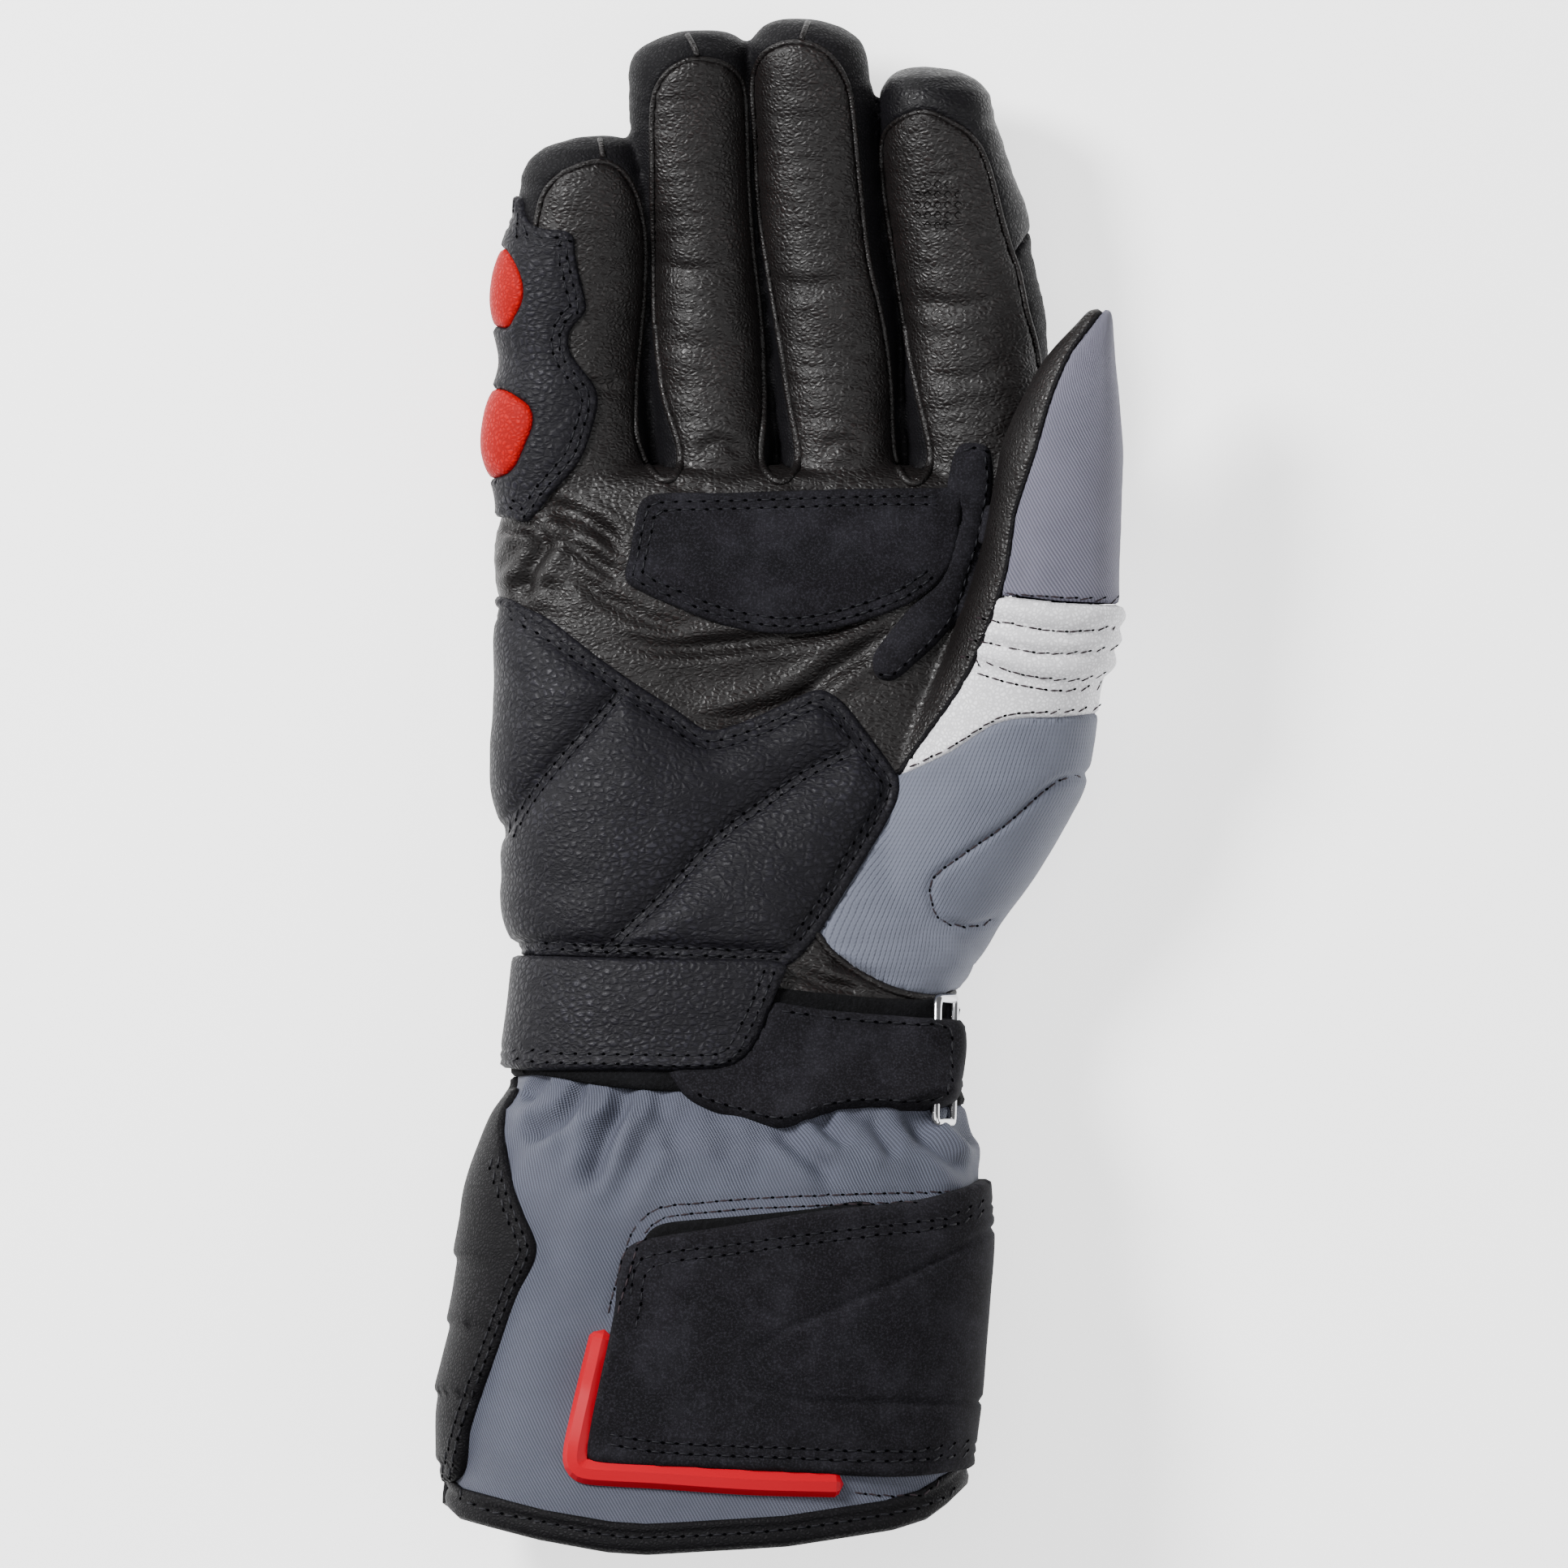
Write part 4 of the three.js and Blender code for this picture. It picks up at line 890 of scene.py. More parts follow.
FLAP_STITCHING = [
    [(600, 1294), (649, 1300), (760, 1302), (868, 1302), (888, 1294), (902, 1272), (918, 1240),
     (934, 1200)],
    [(600, 1306), (649, 1312), (760, 1314), (872, 1314), (897, 1304), (913, 1278), (930, 1243),
     (946, 1202)],
]
BAND_OUTLINE = [
    (560, 1212), (900, 1216), (1000, 1226), (1100, 1234), (1176, 1232), (1300, 1230), (1300, 1362),
    (1140, 1362), (1000, 1366), (860, 1350), (739, 1341), (658, 1328), (560, 1326),
]
STRAP_OUTLINE = [
    (800, 1300), (830, 1230), (944, 1238), (998, 1246), (1051, 1251), (1120, 1256), (1172, 1262),
    (1179, 1290), (1172, 1330), (1162, 1365), (1120, 1370), (1051, 1368), (1006, 1375), (975, 1387),
    (953, 1391), (917, 1384), (864, 1368), (836, 1352), (819, 1330),
]
STRAP_STITCHING = [
    [(952, 1248), (1051, 1260), (1120, 1265), (1160, 1270), (1164, 1300), (1156, 1350), (1120, 1358),
     (1051, 1357), (1004, 1364), (975, 1375), (950, 1379), (920, 1372), (868, 1357), (840, 1342)],
]
GUARD_FRONT = [
    (480, 1345), (635, 1345), (629, 1354), (621, 1368), (616, 1385), (615, 1400), (617, 1422), (621, 1442),
    (628, 1467), (639, 1496), (650, 1521), (655, 1540), (650, 1560), (633, 1598), (601, 1683), (573, 1759),
    (556, 1826), (480, 1826),
]
GUARD_BACK = [
    (480, 1345), (660, 1345), (700, 1480), (700, 1640), (650, 1826), (480, 1826),
]
CUFF_STRAP_FRONT = [
    (718, 1795), (722, 1760), (733, 1705), (745, 1650), (752, 1612), (757, 1560), (766, 1540), (786, 1529),
    (883, 1513), (1000, 1494), (1117, 1481), (1170, 1468), (1210, 1453), (1300, 1420), (1300, 1812),
    (1203, 1810), (1101, 1819), (961, 1813), (806, 1806), (728, 1802),
]
CUFF_STRAP_BACK = [
    (925, 1496), (1117, 1481), (1170, 1468), (1210, 1453), (1300, 1420), (1300, 1812), (1203, 1810),
    (925, 1812),
]
CUFF_STRAP_STITCHING = [
    [(770, 1600), (778, 1560), (802, 1546), (883, 1536), (961, 1525), (1060, 1513), (1156, 1502),
     (1206, 1486), (1240, 1476)],
    [(776, 1640), (782, 1612), (790, 1570), (812, 1557), (884, 1547), (962, 1536), (1060, 1524),
     (1156, 1513), (1206, 1498), (1240, 1488)],
    [(742, 1778), (806, 1788), (961, 1795), (1101, 1800), (1203, 1793), (1240, 1790)],
    [(742, 1766), (806, 1776), (961, 1783), (1101, 1788), (1203, 1781), (1240, 1778)],
]
HOOK_OUTLINE = [
    (780, 1560), (786, 1530), (797, 1515), (812, 1508), (900, 1500), (1000, 1490), (1060, 1482),
    (1080, 1500), (1000, 1530), (850, 1560),
]
TRIM_LINE = [
    (739, 1636), (733, 1660), (722, 1705), (710, 1757), (703, 1796), (706, 1808), (718, 1812), (800, 1817),
    (922, 1825), (1034, 1828),
]
HEM_STITCHING = [
    (556, 1834), (575, 1855), (661, 1875), (742, 1890), (790, 1893), (961, 1883), (1117, 1859),
    (1150, 1848), (1172, 1838),
]
# Creases: sheet line, depth and half width in millimetres
PALM_CREASES = [
    ([(752, 795), (790, 801), (847, 802), (924, 793), (1019, 777), (1103, 752)], 1.1, 1.7),
    ([(840, 893), (889, 892), (977, 862), (1019, 830), (1069, 795), (1103, 765)], 1.3, 1.9),
    ([(652, 640), (661, 673), (642, 711), (636, 750)], 1.2, 1.8),
    ([(600, 655), (628, 650), (655, 655)], 0.9, 1.5),
    ([(668, 628), (700, 634), (734, 654), (762, 690)], 0.8, 1.5),
    ([(650, 690), (684, 672), (720, 690), (760, 724)], 0.7, 1.6),
    ([(604, 700), (624, 690), (640, 668)], 0.45, 1.4),
    ([(606, 738), (630, 726), (664, 728), (700, 742)], 0.4, 1.5),
    ([(690, 700), (740, 742), (800, 770), (860, 786)], 0.6, 1.6),
    ([(660, 620), (700, 650), (760, 664)], 0.6, 1.8),
    ([(850, 560), (880, 548), (912, 562)], 0.5, 1.4),
    ([(1000, 560), (1030, 548), (1062, 560)], 0.4, 1.4),
    ([(812, 600), (840, 606), (872, 604)], 0.5, 1.3),
    ([(960, 602), (990, 608), (1020, 604)], 0.4, 1.3),
    ([(700, 470), (730, 480), (764, 474)], 0.35, 1.6),
    ([(806, 330), (850, 338), (905, 330)], 0.3, 1.8),
    ([(938, 350), (985, 358), (1050, 346)], 0.3, 1.8),
    ([(1110, 372), (1170, 380), (1240, 366)], 0.35, 1.8),
    ([(808, 420), (860, 430), (920, 420)], 0.25, 1.8),
    ([(1130, 460), (1180, 470), (1240, 455)], 0.3, 1.8),
    ([(1240, 660), (1255, 700), (1250, 735)], 0.25, 2.0),
    ([(1010, 1180), (1040, 1196), (1080, 1214)], 0.8, 1.3),
    ([(975, 1200), (1010, 1216), (1060, 1224)], 0.7, 1.3),
]
CUFF_GATHERS = [
    ([(722, 1326), (706, 1348), (682, 1373), (656, 1392), (636, 1410)], 2.4, 2.2),
    ([(768, 1330), (763, 1351), (751, 1375), (738, 1401), (726, 1437), (712, 1473)], 2.6, 2.4),
    ([(812, 1330), (806, 1372), (784, 1413), (760, 1453), (742, 1500)], 1.5, 2.6),
    ([(846, 1350), (830, 1385), (812, 1420)], 1.2, 2.2),
    ([(676, 1330), (652, 1343), (634, 1356)], 1.4, 1.8),
    ([(946, 1380), (970, 1408), (1000, 1436), (1024, 1452)], 1.5, 2.2),
    ([(1000, 1372), (1018, 1396), (1040, 1414)], 1.3, 1.8),
    ([(1066, 1368), (1080, 1400), (1100, 1430)], 1.4, 2.0),
    ([(1110, 1366), (1140, 1402), (1170, 1430), (1196, 1456)], 1.9, 2.2),
    ([(1150, 1372), (1176, 1392), (1204, 1410)], 1.5, 1.8),
    ([(900, 1388), (890, 1412), (884, 1440)], 0.7, 2.2),
    ([(640, 1500), (672, 1580), (690, 1660)], 0.5, 4.0),
    ([(780, 1470), (750, 1550), (728, 1640), (704, 1780)], 1.0, 6.0),
    ([(1130, 1846), (1160, 1838), (1190, 1826)], 0.6, 2.0),
]
CUFF_STITCHING = [
    [(742, 1622), (750, 1590), (758, 1562), (767, 1532), (780, 1508), (806, 1490), (860, 1483),
     (922, 1478), (1039, 1473), (1168, 1470)],
    [(754, 1622), (762, 1592), (770, 1566), (778, 1540), (790, 1518), (812, 1502), (862, 1495),
     (922, 1490), (1039, 1485), (1120, 1482)],
    [(1042, 1838), (1080, 1842), (1120, 1842), (1140, 1836), (1152, 1822)],
]
STRAP_EMBOSSING = [
    [(1213, 1512), (1130, 1560), (1040, 1604), (960, 1640), (925, 1668), (925, 1700), (960, 1722),
     (1040, 1728), (1213, 1728)],
]
# Half sections in millimetres: side, up
TRIM_PROFILE = [(2.7, -0.9), (2.7, 0.5), (1.5, 2.1), (-0.6, 2.3), (-2.4, 1.0), (-2.7, -0.9)]
HEM_PROFILE = [
    (-5.2, 0.1), (-5.0, 0.8), (-4.2, 1.15), (-3.5, 1.0), (-2.9, 0.6), (-2.3, 1.0), (-1.0, 1.4), (0.4, 1.2),
    (1.2, 0.2), (1.3, -1.0), (0.6, -2.2), (-1.0, -2.7), (-3.4, -2.6), (-4.8, -2.3), (-5.0, -1.7),
    (-1.6, -1.3),
]

# Finishes: kind, label, colour, second colour, the kind's other numbers in the order of its group, then the
# bump's depth in millimetres, its strength and the specular level
# For leather the second colour is the lighter colour of the pebble tops, partly wear and partly painted sheen
FINISHES = {
    "leather": ("leather", "Black goat leather", (14, 10, 10), (44, 35, 34), 1.15, 1.6, 0.2, 0.4, 0.37, 0.12, 0.8, 0.32),
    "back": ("leather", "Black back leather", (12, 11, 14), (32, 30, 34), 1.35, 1.3, 0.2, 0.4, 0.54, 0.12, 0.7, 0.12),
    "grained": ("leather", "Grained pad leather", (23, 22, 27), (46, 45, 53), 0.75, 1.35, 0.5, 0.5, 0.44, 0.15, 0.8, 0.14),
    "cap": ("leather", "Glossy cap leather", (13, 12, 15), (28, 26, 31), 1.1, 1.5, 0.3, 0.4, 0.38, 0.12, 0.6, 0.17),
    "red": ("leather", "Red insert leather", (164, 0, 0), (182, 1, 1), 1.1, 1.2, 0.2, 0.5, 0.5, 0.12, 0.6, 0.14),
    "white": ("leather", "White leather", (240, 239, 243), (250, 249, 252), 1.2, 1.1, 0.15, 0.5, 0.5, 0.08, 0.4, 0.5),
    "suede": ("nap", "Black suede", (12, 11, 14), (54, 53, 60), 2.2, 0.2, 0.92, 0.08, 0.5, 0.12),
    "loop": ("nap", "Black loop tape", (7, 7, 8), (26, 26, 29), 1.3, 0.3, 0.95, 0.5, 1.0, 0.12),
    "twill": ("cloth", "Grey thumb twill", (114, 113, 129), (72, 71, 85), 1.7, -0.62, 0.6, 0.72, 0.2, 0.7, 0.5),
    "cuff": ("cloth", "Grey cuff twill", (82, 86, 101), (47, 49, 61), 1.7, -0.52, 0.6, 0.74, 0.2, 0.7, 0.5),
    "lining": ("cloth", "Black lining", (24, 24, 27), (9, 9, 10), 0.8, 0.0, 0.8, 0.9, 0.15, 0.6, 0.5),
    "knit": ("knit", "Grey knit facing", (95, 99, 113), (74, 77, 89), 1.15, 0.82, 0.16, 0.6, 0.5),
}
# Plain finishes: label, colour, roughness, specular level, metal
PLAIN_FINISHES = {
    "rubber": ("Red moulded rubber", (172, 2, 26), 0.42, 0.14, 0.0),
    "steel": ("Plated steel wire", (205, 205, 208), 0.12, 0.5, 1.0),
    "thread": ("Black thread", (14, 14, 20), 0.6, 0.25, 0.0),
    "dark thread": ("Brown black thread", (34, 22, 28), 0.62, 0.3, 0.0),
    # A near black bead of painted shade stands in for each needle hole
    "hole": ("Needle hole", (3, 3, 4), 1.0, 0.0, 0.0),
}
# The plain field of pressed dots on the index finger: its middle on the sheet, radius, pitch and gain
DOTS_PLACE, DOTS_RADIUS, DOTS_PITCH, DOTS_GAIN = (1148, 256), 5.2 * MM, 2.1 * MM, 6.0
KNIT_SHEEN = 0.15
BLACK = (0.0, 0.0, 0.0, 1)


class Net:
    """Adds shader nodes to a tree and joins them."""

    def __init__(self, tree):
        self.tree = tree

    def node(self, kind, inputs=(), **settings):
        item = self.tree.nodes.new(kind)
        for key, value in settings.items():
            setattr(item, key, value)
        for key, value in dict(inputs).items():
            if isinstance(value, bpy.types.NodeSocket):
                self.tree.links.new(value, item.inputs[key])
            else:
                item.inputs[key].default_value = value
        return item

    def math(self, operation, a, b=0.0, c=0.0, clamp=False):
        return self.node("ShaderNodeMath", {0: a, 1: b, 2: c}, operation=operation, use_clamp=clamp).outputs[0]

    def vector(self, operation, a, b=(0.0, 0.0, 0.0), c=(0.0, 0.0, 0.0)):
        return self.node("ShaderNodeVectorMath", {0: a, 1: b, 2: c}, operation=operation).outputs

    def times(self, a, b):
        return self.math("MULTIPLY", a, b)

    def minus(self, a, b):
        return self.math("SUBTRACT", a, b)

    def plus(self, a, b, c):
        """a times b plus c."""
        return self.math("MULTIPLY_ADD", a, b, c)

    def wave(self, value):
        """A sine wave from 0 to 1."""
        return self.plus(self.math("SINE", value), 0.5, 0.5)

    def blend(self, share, a, b):
        return self.node("ShaderNodeMix", {0: share, 6: a, 7: b}, data_type="RGBA").outputs[2]

    def ramp(self, value, low, high, to_low=0.0, to_high=1.0):
        ends = {"Value": value, "From Min": low, "From Max": high, "To Min": to_low, "To Max": to_high}
        return self.node("ShaderNodeMapRange", ends, interpolation_type="SMOOTHSTEP").outputs[0]

    def noise(self, vector, scale, detail=2.0, roughness=0.5, output=0):
        inputs = {"Vector": vector, "Scale": scale, "Detail": detail, "Roughness": roughness}
        return self.node("ShaderNodeTexNoise", inputs).outputs[output]

    def joined(self, x, y, z):
        return self.node("ShaderNodeCombineXYZ", {0: x, 1: y, 2: z}).outputs[0]

    def split(self, vector):
        return self.node("ShaderNodeSeparateXYZ", {0: vector}).outputs

    def scaled(self, vector, x, y, z):
        return self.vector("MULTIPLY", vector, self.joined(x, y, z))[0]

    def object_place(self):
        return self.node("ShaderNodeTexCoord").outputs["Object"]

    def cloth_place(self):
        return self.node("ShaderNodeAttribute", attribute_name="cloth").outputs["Vector"]

    def give(self, **results):
        """Joins a group's results to its output sockets."""
        out = self.node("NodeGroupOutput").inputs
        for key, value in results.items():
            self.tree.links.new(value, out[key])


def shader_group(name, inputs, outputs=("Color", "Roughness", "Height")):
    """A new shader node group with named sockets, its net and its inputs."""
    group = bpy.data.node_groups.new(name, "ShaderNodeTree")
    kinds = {3: "NodeSocketVector", 4: "NodeSocketColor"}
    for socket, value in inputs.items():
        kind = "NodeSocketFloat" if isinstance(value, float) else kinds[len(value)]
        group.interface.new_socket(name=socket, in_out="INPUT", socket_type=kind).default_value = value
    for socket in outputs:
        kind = "NodeSocketColor" if socket == "Color" else "NodeSocketFloat"
        group.interface.new_socket(name=socket, in_out="OUTPUT", socket_type=kind)
    net = Net(group)
    return group, net, net.node("NodeGroupInput").outputs


def leather_group():
    """Leather: pebbles with painted shade in the valleys between them, fine wrinkles, and a lightness on the high
    places that is partly wear and partly painted sheen.
    """
    group, net, given = shader_group(
        "Leather Grain",
        {"Color": (0.02, 0.02, 0.02, 1), "Worn Color": (0.06, 0.055, 0.055, 1), "Grain per mm": 0.9,
         "Stretch": 1.5, "Wrinkles": 0.3, "Wear": 0.5, "Roughness": 0.5},
    )
    place = net.object_place()
    fine = net.times(given["Grain per mm"], 1000.0)
    spot = net.scaled(place, net.math("DIVIDE", fine, given["Stretch"]), fine, fine)
    warp = net.noise(spot, 0.4, output="Color")
    spot = net.vector("MULTIPLY_ADD", warp, (0.9, 0.9, 0.9), spot)[0]
    cells = net.node("ShaderNodeTexVoronoi", {"Vector": spot, "Scale": 1.0}, feature="DISTANCE_TO_EDGE")
    pebble = net.ramp(cells.outputs[0], 0.0, 0.36)
    ridges = net.noise(net.scaled(place, 160.0, 520.0, 520.0), 1.0, 3.0, 0.6)
    wrinkle = net.ramp(net.math("ABSOLUTE", net.minus(ridges, 0.5)), 0.0, 0.09)
    wrinkle = net.times(net.minus(1.0, wrinkle), given["Wrinkles"])
    # Lightness on the pebble tops under soft clouds: partly wear, partly painted sheen
    cloud = net.ramp(net.noise(place, 62.0, 4.0, 0.6), 0.42, 0.72)
    worn = net.times(net.times(cloud, pebble), given["Wear"])
    color = net.blend(worn, given["Color"], given["Worn Color"])
    # Painted shade: the valleys between the pebbles are darkened a third of the way towards black
    color = net.blend(pebble, net.blend(0.35, color, BLACK), color)
    rough = net.minus(given["Roughness"], net.times(worn, 0.12))
    rough = net.math("ADD", rough, net.times(net.minus(1.0, pebble), 0.18))
    height = net.math("ADD", net.minus(pebble, wrinkle), net.times(net.noise(spot, 2.0, 1.0), 0.12))
    net.give(Color=color, Roughness=rough, Height=height)
    return group


def dots_group():
    """A plain grid of small dots pressed into a round field, as a height that is 0 outside it."""
    group, net, given = shader_group(
        "Pressed Dots", {"Centre": (0.0, 0.0, 0.0), "Field Radius": 0.005, "Pitch": 0.002}, ("Height",)
    )
    flat = net.split(net.vector("SUBTRACT", net.object_place(), given["Centre"])[0])
    turn = net.math("DIVIDE", 2 * math.pi, given["Pitch"])
    waves = [net.math("COSINE", net.times(flat[k], turn)) for k in (0, 1)]
    dots = net.ramp(net.math("ADD", *waves), 0.1, 1.1)
    reach = net.vector("LENGTH", net.joined(flat[0], flat[1], 0.0))["Value"]
    field = net.math("LESS_THAN", reach, given["Field Radius"])
    net.give(Height=net.times(net.times(dots, field), -1.0))
    return group


def cloth_group():
    """Woven cloth on the piece's own cloth places: slanted twill lines over fine threads."""
    group, net, given = shader_group(
        "Woven Cloth",
        {"Color": (0.2, 0.2, 0.25, 1), "Gap Color": (0.08, 0.08, 0.1, 1), "Lines per mm": 1.1, "Slant": 0.8,
         "Threads": 0.35, "Roughness": 0.75},
    )
    place = net.cloth_place()
    turned = net.node("ShaderNodeVectorRotate", {"Vector": place, "Angle": given["Slant"]}, rotation_type="Z_AXIS")
    fine = net.times(given["Lines per mm"], 1000.0 * 2 * math.pi)
    parts = net.split(net.scaled(turned.outputs[0], fine, fine, fine))
    lines = net.wave(net.math("ADD", parts[0], net.times(net.noise(place, 260.0), 2.2)))
    threads = net.wave(net.plus(parts[1], 1.9, net.times(lines, 2.0)))
    height = net.plus(threads, given["Threads"], lines)
    share = net.math("DIVIDE", height, net.math("ADD", given["Threads"], 1.0))
    color = net.blend(net.ramp(share, 0.12, 0.7), given["Gap Color"], given["Color"])
    color = net.blend(net.ramp(net.noise(place, 90.0, 3.0), 0.3, 0.7, 0.0, 0.22), color, given["Gap Color"])
    net.give(Color=color, Roughness=net.plus(lines, -0.06, given["Roughness"]), Height=height)
    return group


def knit_group():
    """Knitted facing of the neoprene: upright wales with small slanted loops."""
    group, net, given = shader_group(
        "Knit Facing",
        {"Color": (0.2, 0.22, 0.26, 1), "Gap Color": (0.08, 0.09, 0.11, 1), "Wales per mm": 1.2, "Roughness": 0.8},
    )
    place = net.cloth_place()
    fine = net.times(given["Wales per mm"], 1000.0)
    parts = net.split(net.scaled(place, fine, fine, fine))
    across = net.math("PINGPONG", parts[0], 0.5)
    loops = net.wave(net.times(net.plus(across, 1.3, parts[1]), 2 * math.pi))
    height = net.plus(loops, 0.4, net.ramp(across, 0.0, 0.22))
    color = net.blend(net.ramp(height, 0.1, 1.1), given["Gap Color"], given["Color"])
    color = net.blend(net.ramp(net.noise(place, 110.0, 3.0), 0.35, 0.7, 0.0, 0.3), color, given["Gap Color"])
    net.give(Color=color, Roughness=given["Roughness"], Height=height)
    return group


def nap_group():
    """Suede or brushed loops: a fine short nap with soft brushed clouds."""
    group, net, given = shader_group(
        "Short Nap",
        {"Color": (0.02, 0.02, 0.025, 1), "Brushed Color": (0.05, 0.05, 0.055, 1), "Nap per mm": 3.5,
         "Clouds": 0.5, "Roughness": 0.9},
    )
    place = net.object_place()
    fine = net.times(given["Nap per mm"], 1000.0)
    nap = net.noise(net.scaled(place, fine, fine, fine), 1.0, 3.0, 0.7)
    share = net.times(net.ramp(net.noise(place, 85.0, 5.0, 0.65), 0.4, 0.7), given["Clouds"])
    share = net.math("MULTIPLY_ADD", net.ramp(nap, 0.42, 0.8), 0.5, share, clamp=True)
    color = net.blend(share, given["Color"], given["Brushed Color"])
    net.give(Color=color, Roughness=given["Roughness"], Height=nap)
    return group


def srgb(*shade):
    """Linear colour from display values of 0 to 255."""
    return tuple((c / 255 / 12.92 if c <= 10 else ((c / 255 + 0.055) / 1.055) ** 2.4) for c in shade) + (1,)


def new_material(label, color, constants):
    """A material with constant numbers set on its Principled BSDF, and that shader's inputs."""
    material = bpy.data.materials.new(label)
    material.use_nodes = True
    material.diffuse_color = color
    sockets = material.node_tree.nodes["Principled BSDF"].inputs
    for key, value in constants.items():
        sockets[key].default_value = value
    return material, sockets


def plain_material(label, color, roughness, **more):
    constants = {"Base Color": color, "Roughness": roughness}
    constants.update((key.replace("_", " "), value) for key, value in more.items())
    return new_material(label, color, constants)[0]


def grouped_material(group, label, values, depth, bump, specular, stamp=None):
    """A material whose colour, roughness and height come from a group, with the height of a stamp if given."""
    material, sockets = new_material(label, values[0], {"Specular IOR Level": specular})
    net = Net(material.node_tree)
    names = [item.name for item in group.interface.items_tree if item.in_out == "INPUT"]
    effect = net.node("ShaderNodeGroup", node_tree=group)
    for key, value in zip(names, values, strict=True):
        effect.inputs[key].default_value = value
    height = effect.outputs["Height"]
    if stamp is not None:
        mark = net.node("ShaderNodeGroup", node_tree=stamp)
        centre = sheet_points([DOTS_PLACE])[0]
        for key, value in (("Centre", (*centre, 0.0)), ("Field Radius", DOTS_RADIUS), ("Pitch", DOTS_PITCH)):
            mark.inputs[key].default_value = value
        height = net.plus(mark.outputs["Height"], DOTS_GAIN, height)
    bumped = net.node("ShaderNodeBump", {"Height": height, "Strength": bump, "Distance": depth * MM})
    for value, key in ((effect.outputs["Color"], "Base Color"), (effect.outputs["Roughness"], "Roughness")):
        net.tree.links.new(value, sockets[key])
    net.tree.links.new(bumped.outputs[0], sockets["Normal"])
    return material


def make_materials(settings):
    """All the finishes, by a short name."""
    groups = {"leather": leather_group(), "cloth": cloth_group(), "knit": knit_group(), "nap": nap_group()}
    chosen = {"red": settings.red, "white": settings.white, "twill": settings.thumb_grey, "cuff": settings.cuff_grey}
    made = {}
    for finish, (kind, label, color, second, *numbers, depth, bump, specular) in FINISHES.items():
        values = [tuple(chosen.get(finish, srgb(*color))), srgb(*second), *numbers]
        stamp = dots_group() if finish == "leather" else None
        made[finish] = grouped_material(groups[kind], label, values, depth, bump, specular, stamp)
    made["knit"].node_tree.nodes["Principled BSDF"].inputs["Sheen Weight"].default_value = KNIT_SHEEN
    for finish, (label, color, roughness, specular, metal) in PLAIN_FINISHES.items():
        made[finish] = plain_material(label, srgb(*color), roughness, Specular_IOR_Level=specular, Metallic=metal)
    return made


def lay_cloth(piece, body, worn=None, plain=None):
    """Stores a body's cloth places on a piece for its weave; worn and plain are its creased and flat skins."""
    spots = np.array([v.co[:] for v in piece.data.vertices])
    if worn is not None:
        tree = nearby(worn.places)
        spots = plain.places[[tree.find(spot)[1] for spot in spots]]
    layer = piece.data.attributes.new("cloth", "FLOAT_VECTOR", "POINT")
    layer.data.foreach_set("vector", body.cloth_spots(spots).ravel())
    return piece


def unevenness(spots, stretch, seed):
    """Soft unevenness from -1 to 1 over spots, with a size in millimetres for each direction."""
    return np.array([noise.noise(Vector(spot)) for spot in spots / (np.array(stretch) * MM) + seed])


def hand_skin(bodies, voxel):
    """One skin round the palm, thumb and fingers, evened out where they meet."""
    whole = bmesh.new()
    for body, around in bodies:
        pour(tube_mesh(body, around, 2.5 * MM, capped=True), whole)
    form = bpy.data.objects.new("hand form", mesh_from(whole))
    bpy.context.scene.collection.objects.link(form)
    remesh = form.modifiers.new("even", "REMESH")
    remesh.mode = "VOXEL"
    remesh.voxel_size = voxel * MM
    graph = bpy.context.evaluated_depsgraph_get()
    even = bpy.data.meshes.new_from_object(form.evaluated_get(graph))
    bpy.data.objects.remove(form)
    skin = Skin(even)
    skin.places = skin.relax(skin.places, 7)
    skin.lift_to(0.05 * MM)
    return skin


